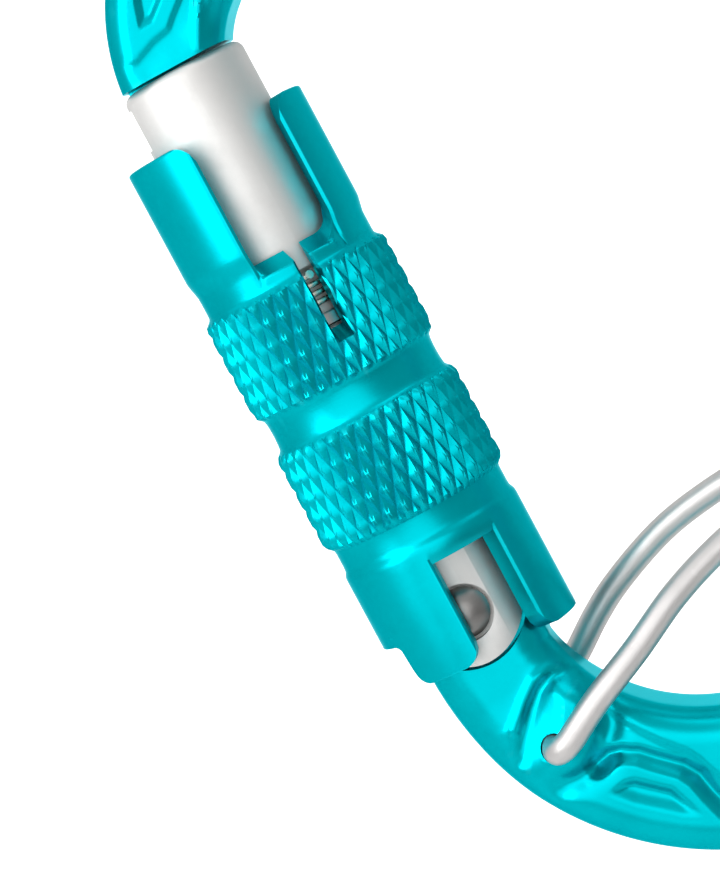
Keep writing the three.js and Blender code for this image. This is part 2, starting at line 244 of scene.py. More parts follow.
def swept(path: Array, radius: Array, sides: int, reference: Array) -> Shell:
    """A circle carried along a path. Its two directions are the path's cross product with a fixed vector.

    Args:
        path: points of the centre line in metres.
        radius: the tube's radius at each point, in metres.
        sides: points round the tube.
        reference: a vector that the path never runs along.
    Returns:
        A closed tube with flat ends.
    """
    tangent = np.gradient(path, axis=0)
    tangent /= np.linalg.norm(tangent, axis=1, keepdims=True)
    first = np.cross(tangent, reference)
    first /= np.linalg.norm(first, axis=1, keepdims=True)
    second = np.cross(tangent, first)
    angle = np.linspace(0, 2 * math.pi, sides, endpoint=False)
    ring = np.cos(angle)[None, :, None] * first[:, None] + np.sin(angle)[None, :, None] * second[:, None]
    return closed_rings(path[:, None] + ring * radius[:, None, None])


def plate(outline: Array, low: float, high: float, edge: float, place: Place) -> Shell:
    """A flat plate with chamfered edges: the outline, set in by the edge at both faces.

    Args:
        outline: closed outline in millimetres.
        low: where the plate starts along its thickness.
        high: where it ends.
        edge: width of the chamfer.
        place: turns the outline's two numbers and the thickness into metres.
    Returns:
        A closed shell.
    """
    ahead = np.roll(outline, -1, 0) - outline
    behind = outline - np.roll(outline, 1, 0)
    side = ahead / np.linalg.norm(ahead, axis=1, keepdims=True)
    side = side + behind / np.linalg.norm(behind, axis=1, keepdims=True)
    side /= np.linalg.norm(side, axis=1, keepdims=True)
    turning = np.sum(outline[:, 0] * np.roll(outline[:, 1], -1) - outline[:, 1] * np.roll(outline[:, 0], -1))
    inward = np.stack([-side[:, 1], side[:, 0]], -1) * np.sign(turning) * edge
    layers = [(outline + inward, low), (outline, low + edge),
              (outline, high - edge), (outline + inward, high)]
    return closed_rings(np.stack([place(o[:, 0], o[:, 1], np.full(len(o), t)) for o, t in layers]))


def arc(x: float, z: float, radius: float, start: float, end: float, count: int) -> Array:
    """Points of a circular arc. Angles are in radians."""
    angle = np.linspace(start, end, count)
    return np.stack([x + radius * np.cos(angle), z + radius * np.sin(angle)], -1)


def line(start: Sequence[float], end: Sequence[float], count: int) -> Array:
    """Evenly spaced points of a straight run."""
    share = np.linspace(0, 1, count)[:, None]
    return np.asarray(start, float) * (1 - share) + np.asarray(end, float) * share


def rectangle(left: float, low: float, right: float, high: float) -> Array:
    """The four corners of a rectangle."""
    return np.array([[left, low], [right, low], [right, high], [left, high]], float)


def smooth(value: Array, start: float, end: float) -> Array:
    """Nought before start, one after end, and a smooth cubic rise between them."""
    share = np.clip((value - start) / (end - start), 0, 1)
    return share * share * (3 - 2 * share)


def run_distance(x: Array, z: Array, run: Sequence[tuple[float, float]]) -> Array:
    """Distance from each point to the nearest straight part of a run of points.

    Args:
        x: drawing x.
        z: drawing z.
        run: the run's points.
    Returns:
        Distance in millimetres.
    """
    best = np.full(np.broadcast(x, z).shape, np.inf)
    for (ax, az), (bx, bz) in zip(run[:-1], run[1:]):
        dx, dz = bx - ax, bz - az
        share = np.clip(((x - ax) * dx + (z - az) * dz) / (dx * dx + dz * dz), 0, 1)
        best = np.minimum(best, np.hypot(x - ax - share * dx, z - az - share * dz))
    return best


def inside(x: Array, z: Array, outline: Sequence[tuple[float, float]]) -> Array:
    """Whether each point lies in a closed outline, by counting the edges crossed.

    Args:
        x: drawing x.
        z: drawing z.
        outline: the outline's points.
    Returns:
        True where a point is inside.
    """
    crossed = np.zeros(np.broadcast(x, z).shape, bool)
    for (ax, az), (bx, bz) in zip(outline, [*outline[1:], outline[0]]):
        if az != bz:
            spans = (az > z) != (bz > z)
            crossed ^= spans & (x < (bx - ax) * (z - az) / (bz - az) + ax)
    return crossed


def depth_inside(x: Array, z: Array, outline: Sequence[tuple[float, float]]) -> Array:
    """Distance to a closed outline, positive within it and negative outside."""
    distance = run_distance(x, z, [*outline, outline[0]])
    return np.where(inside(x, z, outline), distance, -distance)


# ---------------------------------------------------------------- meshes


def make_object(name: str, shell: Shell, sharp: float = 32.0) -> bpy.types.Object:
    """Puts a shell into a mesh object at the origin.

    Args:
        name: the piece's name.
        shell: its surface.
        sharp: edges that turn by more than this many degrees stay crisp.
    Returns:
        The object, linked into the scene.
    """
    mesh = bpy.data.meshes.new(name)
    mesh.from_pydata(shell.points.tolist(), [], shell.quads.tolist() + shell.triangles.tolist() + shell.caps)
    mesh.validate()
    mesh.shade_smooth()
    mesh.set_sharp_from_angle(angle=math.radians(sharp))
    piece = bpy.data.objects.new(name, mesh)
    bpy.context.scene.collection.objects.link(piece)
    return piece


def carve(piece: bpy.types.Object, cutters: Sequence[Shell]) -> None:
    """Cuts closed shells out of a piece, one after another, and keeps the result as its mesh.

    Args:
        piece: the piece to cut.
        cutters: closed shells, each turned outwards.
    """
    for cutter in cutters:
        tool = make_object("cutter", cutter)
        cut = piece.modifiers.new("cut", "BOOLEAN")
        cut.operation = "DIFFERENCE"
        cut.solver = "EXACT"
        cut.object = tool
        settle(piece)
        bpy.data.objects.remove(tool)


def settle(piece: bpy.types.Object) -> None:
    """Makes the piece's modifiers part of its mesh.

    Args:
        piece: the piece, whose modifiers are then gone.
    """
    bpy.context.view_layer.update()
    graph = bpy.context.evaluated_depsgraph_get()
    mesh = bpy.data.meshes.new_from_object(piece.evaluated_get(graph))
    piece.modifiers.clear()
    piece.data = mesh


def bevelled(piece: bpy.types.Object, width: float, sharp: float = 32.0) -> None:
    """Rounds the crisp edges of a carved piece.

    Args:
        piece: the piece.
        width: bevel width in millimetres.
        sharp: edges that turn by more than this many degrees are rounded.
    """
    bevel = piece.modifiers.new("edges", "BEVEL")
    bevel.width = width * MM
    bevel.segments = 2
    bevel.limit_method = "ANGLE"
    bevel.angle_limit = math.radians(sharp)
    bevel.use_clamp_overlap = True
    settle(piece)
    piece.data.shade_smooth()
    piece.data.set_sharp_from_angle(angle=math.radians(sharp))


# ---------------------------------------------------------------- finishes


class Marks(Enum):
    """Which tool marks a metal surface shows."""

    BLASTED = "blasted"
    TURNED = "turned"
    DRAWN = "drawn"


class Shader:
    """Adds nodes to one node tree and joins them up."""

    def __init__(self, tree: bpy.types.NodeTree) -> None:
        """Keeps the tree."""
        self.tree = tree

    def node(self, kind: str, **settings: object) -> bpy.types.Node:
        """Adds a node and sets its properties.

        Args:
            kind: the node's type.
            settings: properties to set on it.
        Returns:
            The node.
        """
        made = self.tree.nodes.new(kind)
        for key, value in settings.items():
            setattr(made, key, value)
        return made

    def feed(self, source: object, target: bpy.types.NodeSocket) -> None:
        """Links a socket into another, or sets a plain value on it.

        Args:
            source: a socket or a plain value.
            target: the input socket.
        """
        if isinstance(source, bpy.types.NodeSocket):
            self.tree.links.new(source, target)
        else:
            target.default_value = source

    def math(self, operation: str, *values: object) -> bpy.types.NodeSocket:
        """Adds a node that does the given sum.

        Args:
            operation: the sum's name.
            values: its inputs, sockets or numbers.
        Returns:
            The result's socket.
        """
        made = self.node("ShaderNodeMath", operation=operation)
        for value, target in zip(values, made.inputs):
            self.feed(value, target)
        return made.outputs[0]

    def noise(self, vector: object, scale: object, detail: float, roughness: float) -> bpy.types.NodeSocket:
        """A noise value over a vector.

        Args:
            vector: the place to read it at.
            scale: its scale.
            detail: its octaves.
            roughness: weight of the finer octaves.
        Returns:
            The noise's socket.
        """
        made = self.node("ShaderNodeTexNoise")
        self.feed(vector, made.inputs["Vector"])
        self.feed(scale, made.inputs["Scale"])
        made.inputs["Detail"].default_value = detail
        made.inputs["Roughness"].default_value = roughness
        return made.outputs["Fac"]

    def spread(self, value: object, low: float, high: float,
               to_low: float, to_high: float) -> bpy.types.NodeSocket:
        """Maps one range of values onto another, held at the ends.

        Args:
            value: the value to map.
            low: start of its range.
            high: end of its range.
            to_low: what the start becomes.
            to_high: what the end becomes.
        Returns:
            The mapped value's socket.
        """
        made = self.node("ShaderNodeMapRange", clamp=True)
        for source, target in zip((value, low, high, to_low, to_high), made.inputs):
            self.feed(source, target)
        return made.outputs[0]

    def mix(self, factor: object, first: object, second: object) -> bpy.types.NodeSocket:
        """Blends two colours.

        Args:
            factor: share of the second colour.
            first: the first colour.
            second: the second colour.
        Returns:
            The blended colour's socket.
        """
        made = self.node("ShaderNodeMix", data_type="RGBA")
        self.feed(factor, made.inputs[0])
        self.feed(first, made.inputs[6])
        self.feed(second, made.inputs[7])
        return made.outputs[2]


def new_group(name: str, inputs: Sequence[tuple[str, str]],
              outputs: Sequence[str]) -> tuple[Shader, dict, dict]:
    """Starts a shader node group.

    Args:
        name: the group's name.
        inputs: names and socket kinds of its inputs.
        outputs: names of its float outputs.
    Returns:
        The builder, the input sockets and the output sockets by name.
    """
    tree = bpy.data.node_groups.new(name, "ShaderNodeTree")
    for title, kind in inputs:
        tree.interface.new_socket(name=title, in_out="INPUT", socket_type=kind)
    for title in outputs:
        tree.interface.new_socket(name=title, in_out="OUTPUT", socket_type="NodeSocketFloat")
    shader = Shader(tree)
    given = shader.node("NodeGroupInput").outputs
    result = shader.node("NodeGroupOutput").inputs
    return shader, {s.name: s for s in given}, {s.name: s for s in result}


def surface_grain() -> bpy.types.NodeTree:
    """Group: fine blasted grain and broad mottling from two noises over the object's own coordinates.

    Returns:
        The group, made once.
    """
    name = "surface_grain"
    if name in bpy.data.node_groups:
        return bpy.data.node_groups[name]
    shader, given, result = new_group(name, [("Scale", "NodeSocketFloat")], ["Grain", "Mottle"])
    place = shader.node("ShaderNodeTexCoord").outputs["Object"]
    shader.feed(shader.noise(place, given["Scale"], 3.0, 0.6), result["Grain"])
    broad = shader.math("MULTIPLY", given["Scale"], 0.035)
    shader.feed(shader.noise(place, broad, 4.0, 0.55), result["Mottle"])
    return shader.tree


def edge_wear() -> bpy.types.NodeTree:
    """Group: a mask that is one on rubbed convex edges, broken up by noise.

    Returns:
        The group, made once.
    """
    name = "edge_wear"
    if name in bpy.data.node_groups:
        return bpy.data.node_groups[name]
    shader, given, result = new_group(name, [("Amount", "NodeSocketFloat")], ["Mask"])
    place = shader.node("ShaderNodeTexCoord").outputs["Object"]
    edge = shader.spread(shader.node("ShaderNodeNewGeometry").outputs["Pointiness"], 0.52, 0.62, 0.0, 1.0)
    broken = shader.spread(shader.noise(place, 900.0, 5.0, 0.65), 0.35, 0.65, 0.3, 1.0)
    worn = shader.math("MULTIPLY", shader.math("MULTIPLY", edge, broken), given["Amount"])
    shader.feed(worn, result["Mask"])
    return shader.tree


def tool_marks() -> bpy.types.NodeTree:
    """Group: fine rings left by turning, a noise over the distance along the axis alone.

    Returns:
        The group, made once.
    """
    name = "tool_marks"
    if name in bpy.data.node_groups:
        return bpy.data.node_groups[name]
    sockets = [("Axis", "NodeSocketVector"), ("Scale", "NodeSocketFloat")]
    shader, given, result = new_group(name, sockets, ["Height"])
    place = shader.node("ShaderNodeTexCoord").outputs["Object"]
    along = shader.node("ShaderNodeVectorMath", operation="DOT_PRODUCT")
    shader.feed(place, along.inputs[0])
    shader.feed(given["Axis"], along.inputs[1])
    combined = shader.node("ShaderNodeCombineXYZ")
    shader.feed(along.outputs["Value"], combined.inputs[0])
    shader.feed(shader.noise(combined.outputs[0], given["Scale"], 2.0, 0.7), result["Height"])
    return shader.tree


def drawn_marks() -> bpy.types.NodeTree:
    """Group: long streaks of drawn wire, a noise over the wire's own map, stretched along its length.

    Returns:
        The group, made once.
    """
    name = "drawn_marks"
    if name in bpy.data.node_groups:
        return bpy.data.node_groups[name]
    shader, given, result = new_group(name, [("Scale", "NodeSocketFloat")], ["Height"])
    place = shader.node("ShaderNodeUVMap", uv_map=WIRE_MAP).outputs[0]
    stretch = shader.node("ShaderNodeMapping")
    stretch.inputs["Scale"].default_value = (0.6, 9.0, 1.0)
    shader.feed(place, stretch.inputs["Vector"])
    shader.feed(shader.noise(stretch.outputs[0], given["Scale"], 4.0, 0.6), result["Height"])
    return shader.tree


WIRE_MAP = "wire_map"
UPRIGHT = (0.0, 0.0, 1.0)


@dataclass(frozen=True)
class MetalFinish:
    """A metal surface: its two close colours, gloss, grain, tool marks and rubbed edges."""

    name: str
    colour: tuple[float, float, float]
    second_colour: tuple[float, float, float]
    worn_colour: tuple[float, float, float]
    roughness: float
    roughness_swing: float
    grain_scale: float
    grain_depth: float
    wear: float
    marks: Marks = Marks.BLASTED
    marks_scale: float = 6000.0
    marks_depth: float = 0.0
    marks_axis: tuple[float, float, float] = UPRIGHT
    edge_tint: tuple[float, float, float] = (1.0, 1.0, 1.0)

    def material(self) -> bpy.types.Material:
        """Builds the finish, or gives the one already built. Its name differs from every slot's.

        Returns:
            The material.
        """
        title = f"{self.name}_finish"
        if title in bpy.data.materials:
            return bpy.data.materials[title]
        made = bpy.data.materials.new(title)
        made.use_nodes = True
        shader = Shader(made.node_tree)
        body = made.node_tree.nodes["Principled BSDF"]
        grain = shader.node("ShaderNodeGroup", node_tree=surface_grain())
        grain.inputs["Scale"].default_value = self.grain_scale
        worn = shader.node("ShaderNodeGroup", node_tree=edge_wear())
        worn.inputs["Amount"].default_value = self.wear
        shade = shader.spread(grain.outputs["Mottle"], 0.3, 0.7, 0.0, 1.0)
        base = shader.mix(shade, (*self.colour, 1.0), (*self.second_colour, 1.0))
        rubbed = shader.mix(worn.outputs["Mask"], base, (*self.worn_colour, 1.0))
        shader.feed(rubbed, body.inputs["Base Color"])
        low, high = self.roughness - self.roughness_swing, self.roughness + self.roughness_swing
        shader.feed(shader.spread(grain.outputs["Mottle"], 0.25, 0.75, low, high), body.inputs["Roughness"])
        body.inputs["Metallic"].default_value = 1.0
        body.inputs["Specular Tint"].default_value = (*self.edge_tint, 1.0)
        self._bump(shader, grain.outputs["Grain"], body.inputs["Normal"])
        return made

    def _bump(self, shader: Shader, grain: bpy.types.NodeSocket, normal: bpy.types.NodeSocket) -> None:
        """Feeds the normal with the grain's bump and then the tool marks' bump.

        Args:
            shader: the material's node builder.
            grain: height of the blasted grain.
            normal: the shader's normal socket.
        """
        bump = shader.node("ShaderNodeBump")
        bump.inputs["Distance"].default_value = self.grain_depth * MM
        shader.feed(grain, bump.inputs["Height"])
        if self.marks is not Marks.BLASTED:
            group = tool_marks() if self.marks is Marks.TURNED else drawn_marks()
            marks = shader.node("ShaderNodeGroup", node_tree=group)
            marks.inputs["Scale"].default_value = self.marks_scale
            if self.marks is Marks.TURNED:
                marks.inputs["Axis"].default_value = self.marks_axis
            second = shader.node("ShaderNodeBump")
            second.inputs["Distance"].default_value = self.marks_depth * MM
            shader.feed(marks.outputs["Height"], second.inputs["Height"])
            shader.feed(bump.outputs[0], second.inputs["Normal"])
            bump = second
        shader.feed(bump.outputs[0], normal)


GATE_AXIS = tuple(float(part) for part in DATUM.along)
TEAL_FORGED = MetalFinish(
    "anodised_forging", (0.0, 0.45, 0.52), (0.0, 0.50, 0.57), (0.02, 0.60, 0.66),
    0.30, 0.03, 5200.0, 0.006, 0.25, edge_tint=(0.25, 0.8, 0.85))
TEAL_TURNED = MetalFinish(
    "anodised_sleeve", (0.0, 0.45, 0.52), (0.0, 0.50, 0.57), (0.03, 0.62, 0.68),
    0.33, 0.03, 5200.0, 0.004, 0.3, Marks.TURNED, 5200.0, 0.004, GATE_AXIS, (0.25, 0.8, 0.85))
SATIN_GATE = MetalFinish(
    "satin_aluminium", (0.80, 0.79, 0.775), (0.755, 0.745, 0.73), (0.93, 0.93, 0.92),
    0.6, 0.05, 6500.0, 0.005, 0.3, Marks.TURNED, 9000.0, 0.003, GATE_AXIS)
RIVET_STEEL = MetalFinish(
    "rivet_steel", (0.24, 0.233, 0.226), (0.30, 0.293, 0.285), (0.36, 0.355, 0.35),
    0.34, 0.05, 7000.0, 0.01, 0.4, Marks.TURNED, 5000.0, 0.004, (1.0, 0.0, 0.0))
INNER_STEEL = MetalFinish(
    "inner_steel", (0.33, 0.325, 0.32), (0.27, 0.267, 0.262), (0.42, 0.415, 0.41),
    0.32, 0.05, 7000.0, 0.006, 0.3, Marks.TURNED, 8000.0, 0.004, GATE_AXIS)
SPRING_STEEL = MetalFinish(
    "spring_steel", (0.66, 0.62, 0.54), (0.55, 0.52, 0.46), (0.8, 0.78, 0.74),
    0.26, 0.06, 9000.0, 0.004, 0.3)
KEEPER_STEEL = MetalFinish(
    "keeper_steel", (0.68, 0.66, 0.652), (0.58, 0.565, 0.558), (0.74, 0.73, 0.72),
    0.4, 0.06, 5000.0, 0.006, 0.2, Marks.DRAWN, 9.0, 0.012)


def dress(piece: bpy.types.Object, finish: MetalFinish) -> None:
    """Gives a piece or a carried-over node its finish."""
    piece.data.materials.clear()
    piece.data.materials.append(finish.material())


def fit(piece: bpy.types.Object, body: str, node: str, finish: MetalFinish) -> None:
    """Dresses a piece, ties it to the body and hides the node that it stands for.

    Args:
        piece: the new piece.
        body: the body that it moves with.
        node: the node that it replaces.
        finish: its look.
    """
    dress(piece, finish)
    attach(piece, body)
    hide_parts(node)
    LOG.info("%s: %d points, %d faces", piece.name, len(piece.data.vertices), len(piece.data.polygons))


# ---------------------------------------------------------------- the forged frame


@dataclass(frozen=True)
class Circle:
    """A circle of the drawing, in millimetres."""

    x: float
    z: float
    r: float

    def run(self, start: float, end: float, count: int) -> Array:
        """Points of this circle between two angles in degrees."""
        return arc(self.x, self.z, self.r, math.radians(start), math.radians(end), count)

    def bearing(self, point: Array) -> float:
        """Angle in degrees from the centre to a point."""
        return math.degrees(math.atan2(point[1] - self.z, point[0] - self.x))

    def crossing(self, along: float) -> float:
        """Angle in degrees, before the half turn, where the circle crosses a height along the gate.

        Args:
            along: height along the gate in millimetres.
        Returns:
            The angle in degrees.
        """
        centre = self.x * DATUM.along[0] + self.z * DATUM.along[2]
        lean = math.degrees(math.atan2(DATUM.along[2], DATUM.along[0]))
        return lean + math.degrees(math.acos((along - centre) / self.r))


@dataclass
class ForgedRelief:
    """The forged hollows and ridges on both faces, as heights over drawing x and z in millimetres."""

    plateau: tuple = ((-1.6, -1.9), (1.1, 1.2), (4.2, 0.2), (4.9, -1.4), (7.9, -4.1), (6.5, -4.4),
                      (5.5, -5.2), (4.7, -6.9), (3.9, -9.9), (1.1, -7.9), (-1.6, -5.4))
    bead: tuple = ((8.0, -4.05), (6.5, -4.45), (5.45, -5.25), (4.75, -6.8), (3.95, -9.2))
    valley: tuple = ((8.3, -4.5), (6.9, -5.0), (5.9, -6.2), (5.3, -7.7), (4.8, -9.9), (4.5, -11.8))
    boss: tuple = ((8.5, -6.6), (8.1, -10.7))
    boss_half: float = 2.9
    boss_height: float = 0.95
    plateau_height: float = 0.10
    pocket_depth: float = 0.45
    panel_depth: float = 0.5
    side_valley: tuple = ((10.9, -4.6), (11.5, -6.6), (11.55, -8.6), (11.1, -10.3), (10.4, -11.7),
                          (9.1, -12.9), (7.6, -13.9))
    hollow: tuple = ((10.6, -11.8), (11.2, -11.5))
    rail: tuple = ((10.6, -7.6), (12.2, -8.7), (13.4, -9.3), (15.3, -10.3), (17.2, -11.0), (18.0, -11.5),
                   (19.5, -12.8), (21.8, -14.6), (25.5, -15.2), (29.0, -13.4))
    groove: tuple = ((10.5, -12.0), (11.4, -11.2), (12.4, -10.8), (13.7, -10.9), (14.9, -11.3), (17.2, -11.9),
                     (18.4, -12.6), (19.5, -13.9), (21.6, -16.0), (25.5, -16.8), (29.4, -15.0))
    panel: tuple = ((11.3, -14.4), (12.7, -13.3), (13.4, -13.1), (16.3, -13.75), (18.7, -15.9),
                    (17.2, -15.9), (13.4, -15.15))
    nose_pocket: tuple = ((-25.6, 50.5), (-25.6, 47.3), (-25.2, 45.3), (-24.2, 45.9), (-23.6, 47.3),
                          (-22.6, 50.5))
    nose_step: tuple = ((-20.3, 51.0), (-21.8, 47.3), (-22.3, 46.1), (-22.7, 45.0), (-23.9, 44.0),
                        (-25.1, 42.6))
    nose_ridge: tuple = ((-19.9, 51.0), (-20.7, 47.3), (-20.6, 43.8))

    def height(self, x: Array, z: Array) -> Array:
        """Sum of every feature's height: ridges and valleys fall off with distance, panels with depth inside.

        Args:
            x: drawing x of the surface points.
            z: drawing z of the surface points.
        Returns:
            Height above the plain section, the same on both faces.
        """
        ridges = ((self.bead, 0.34, 0.5), (self.valley, -0.30, 0.56), (self.side_valley, -0.60, 1.1),
                  (self.hollow, -0.2, 1.0), (self.nose_ridge, 0.20, 0.34))
        grooves = ((self.rail, 0.36, 0.8, 1.8), (self.groove, 0.62, 0.9, 1.2), (self.nose_step, 0.26, 0.7, 2.2))
        total = self.plateau_height * smooth(depth_inside(x, z, self.plateau), -1.2, 0.9)
        for run, height, half in ridges:
            total += height * self._ridge(x, z, run, half)
        for run, depth, steep, gentle in grooves:
            total -= self._groove(x, z, run, depth, steep, gentle)
        total -= self._panel(x, z)
        total -= self.pocket_depth * smooth(depth_inside(x, z, self.nose_pocket), -0.2, 0.6)
        out = run_distance(x, z, self.boss)
        raised = self.boss_height * (1 - smooth(out, 0.2, self.boss_half))
        return total * smooth(out, 0.7, 2.4) + raised

    @staticmethod
    def _ridge(x: Array, z: Array, run: tuple, half: float) -> Array:
        """One along the run, falling off as a bell curve of the distance over the half width."""
        return np.exp(-((run_distance(x, z, run) / half) ** 2))

    @staticmethod
    def _groove(x: Array, z: Array, run: tuple, depth: float, steep: float, gentle: float) -> Array:
        """A groove with a steep wall on its upper side and a gentle slope on the lower one.

        Args:
            x: drawing x.
            z: drawing z.
            run: the groove's bottom line.
            depth: its depth.
            steep: width of the steep wall.
            gentle: width of the gentle slope.
        Returns:
            Depth below the plain surface.
        """
        distance = run_distance(x, z, run)
        points = np.array(sorted(run))
        above = z > np.interp(x, points[:, 0], points[:, 1])
        width = np.where(above, steep, gentle)
        return depth * (1 - smooth(distance / width, 0.0, 1.0))

    def _panel(self, x: Array, z: Array) -> Array:
        """A recess that is deepest along its upper edge and runs out at the lower one.

        Args:
            x: drawing x.
            z: drawing z.
        Returns:
            Depth below the plain surface.
        """
        edge = smooth(depth_inside(x, z, self.panel), -0.4, 0.5)
        lower = run_distance(x, z, [self.panel[0], *self.panel[:-4:-1]])
        return self.panel_depth * edge * smooth(lower, 0.0, 1.5)


@dataclass
class ForgedFrame:
    """The forged bow: spine, crown, nose, wide lower bow, neck, tang and keylock tongue, in millimetres."""

    low_out: Circle = Circle(19.35, 6.25, 25.2)
    low_in: Circle = Circle(17.8, 6.9, 14.4)
    nose_out: Circle = Circle(-10.7, 46.8, 17.6)
    nose_in: Circle = Circle(-10.6, 44.1, 8.3)
    crown_out: float = 44.0
    crown_in: float = 35.5
    corner_out: float = 24.0
    corner_in: float = 14.0
    spine_in: float = 34.0
    spine_swell: float = 28.0
    nose_turn: float = 160.0
    nose_face: float = 48.0
    neck_out: float = -5.2
    neck_in: float = 4.8
    neck_low: float = -4.7
    shoulder: float = -2.2
    ear_centre: float = 0.3
    ear_seat: float = 4.9
    neck_half: float = 4.3
    half: float = 4.8
    edge: float = 2.5
    neck_edge: float = 3.0
    bore: float = 1.26
    boss_face: float = 5.4
    bore_x: float = 7.3
    bore_z: float = -8.9
    bore_slope: float = 0.3
    bore_floor: float = 2.4
    spans: tuple[float, float, float] = (36.0, 62.0, 15.0)
    relief: ForgedRelief = field(default_factory=ForgedRelief)

    def build(self) -> None:
        """Makes the frame, dresses it and ties it to its body."""
        shells = [self._bow(), self._tang(), *self._tongue()]
        piece = make_object("frame_forging", joined(shells), 38.0)
        fit(piece, "frame", "frame_body", TEAL_FORGED)

    def _arcs(self, nose: Circle, crown_r: float, corner_r: float,
              spine_x: float) -> tuple[Circle, Circle, float]:
        """Crown arc that continues the nose, corner arc that joins it to the spine, and where they meet.

        Args:
            nose: the nose's arc.
            crown_r: the crown's radius.
            corner_r: the corner's radius.
            spine_x: drawing x of the spine's side.
        Returns:
            The crown, the corner, and the angle in degrees where they meet.
        """
        turn = math.radians(self.nose_turn)
        reach = crown_r - nose.r
        crown = Circle(nose.x - reach * math.cos(turn), nose.z - reach * math.sin(turn), crown_r)
        corner_x = spine_x - corner_r
        meet = math.acos((corner_x - crown.x) / (crown_r - corner_r))
        corner = Circle(corner_x, crown.z + (crown_r - corner_r) * math.sin(meet), corner_r)
        return crown, corner, math.degrees(meet)

    def _outlines(self) -> tuple[Array, Array]:
        """Outer and inner outlines, point against point, from the neck round the bow to the nose.

        Returns:
            The outer and the inner outline, as rows of drawing x and z.
        """
        fine = 160
        spine_out = self.low_out.x + self.low_out.r
        crown_o, corner_o, meet_o = self._arcs(self.nose_out, self.crown_out, self.corner_out, spine_out)
        crown_i, corner_i, meet_i = self._arcs(self.nose_in, self.crown_in, self.corner_in, self.spine_in)
        neck_o = [DATUM.in_plane(self.neck_out, u) for u in (self.shoulder, self.neck_low)]
        neck_i = [DATUM.in_plane(self.neck_in, u) for u in (self.shoulder, self.neck_low)]
        low_end = self.low_in.x + self.low_in.r
        third = (self.spine_swell - self.low_in.z) / 3
        share = np.linspace(0, 1, fine)[:, None]
        ends = [np.array(p) for p in ((low_end, self.low_in.z), (low_end, self.low_in.z + third),
                                      (self.spine_in, self.spine_swell - third),
                                      (self.spine_in, self.spine_swell))]
        swell = sum(w * p for w, p in zip(((1 - share) ** 3, 3 * share * (1 - share) ** 2,
                                           3 * share ** 2 * (1 - share), share ** 3), ends))
        outer = [line(neck_o[0], neck_o[1], fine),
                 self.low_out.run(self.low_out.bearing(neck_o[1]), 0, fine),
                 line((spine_out, self.low_out.z), (spine_out, self.spine_swell), fine),
                 line((spine_out, self.spine_swell), (spine_out, corner_o.z), fine),
                 corner_o.run(0, meet_o, fine), crown_o.run(meet_o, self.nose_turn, fine),
                 self.nose_out.run(self.nose_turn, self.nose_out.crossing(self.nose_face), fine)]
        inner = [line(neck_i[0], neck_i[1], fine),
                 self.low_in.run(self.low_in.bearing(neck_i[1]), 0, fine), swell,
                 line((self.spine_in, self.spine_swell), (self.spine_in, corner_i.z), fine),
                 corner_i.run(0, meet_i, fine), crown_i.run(meet_i, self.nose_turn, fine),
                 self.nose_in.run(self.nose_turn, self.nose_in.crossing(self.nose_face), fine)]
        keep = [part[1:] for part in outer[1:]], [part[1:] for part in inner[1:]]
        return np.concatenate([outer[0], *keep[0]]), np.concatenate([inner[0], *keep[1]])

    @staticmethod
    def _section() -> tuple[Array, Array, Array, Array]:
        """A rounded rectangle as four numbers per point: shares of the flat parts and of the corner circle.

        Returns:
            Width share, corner cosine, thickness share and corner sine, from the outer side's middle
            over the near face to the inner side's middle, and back over the far face.
        """
        side, corner, face = 3, 16, 50
        quarter = np.linspace(0, math.pi / 2, corner, endpoint=False)
        ramp = np.linspace(0, 1, side, endpoint=False)
        width = np.concatenate([-np.ones(side + corner), np.linspace(-1, 1, face, endpoint=False),
                                np.ones(corner + side)])
        cosine = np.concatenate([-np.ones(side), -np.cos(quarter), np.zeros(face),
                                 np.sin(quarter), np.ones(side)])
        thick = np.concatenate([ramp, np.ones(2 * corner + face), 1 - ramp])
        sine = np.concatenate([np.zeros(side), np.sin(quarter), np.ones(face),
                               np.cos(quarter), np.zeros(side)])
        near = np.stack([width, cosine, -thick, -sine])
        far = np.stack([width[::-1], cosine[::-1], thick[::-1], sine[::-1]])
        last = np.array([[1.0], [1.0], [0.0], [0.0]])
        ring = np.concatenate([near, last, far[:, :-1]], 1)
        return ring[0], ring[1], ring[2], ring[3]

    def _bow(self) -> Shell:
        """The section carried along the bow, as wide as its outlines, with the relief added in y.

        Returns:
            A closed shell.
        """
        outer, inner = self._outlines()
        middle = (outer + inner) / 2
        travelled = np.concatenate([[0], np.cumsum(np.linalg.norm(np.diff(middle, axis=0), axis=1))])
        total = travelled[-1]
        forged, spine, nose = self.spans[0], self.spans[1], total - self.spans[2]
        stops = np.concatenate([np.linspace(0, forged, 310, endpoint=False),
                                np.linspace(forged, spine, 45, endpoint=False),
                                np.linspace(spine, nose, 95, endpoint=False),
                                np.linspace(nose, total, 72)])
        width, cosine, thick, sine = self._section()
        rise = smooth(stops, 4.0, 12.0)[:, None]
        half = self.neck_half + (self.half - self.neck_half) * rise
        edge = self.neck_edge + (self.edge - self.neck_edge) * rise
        span = self._at(stops, travelled, inner) - self._at(stops, travelled, outer)
        half_width = np.linalg.norm(span, axis=1)[:, None] / 2
        share = (width * (half_width - edge) + cosine * edge) / half_width
        neck_across = (self.neck_in - self.neck_out) / 2 * share + (self.neck_in + self.neck_out) / 2
        seat = self.ear_centre - np.sqrt(np.clip(self.ear_seat ** 2 - neck_across ** 2, 0, None))
        shift = np.clip(self.shoulder - seat, 0, None) * np.clip(1 - stops / 7.0, 0, 1)[:, None]
        where = stops[:, None] + shift
        low, high = self._at(where, travelled, outer), self._at(where, travelled, inner)
        flat = low * (1 - share[..., None]) / 2 + high * (1 + share[..., None]) / 2
        x, z = flat[..., 0], flat[..., 1]
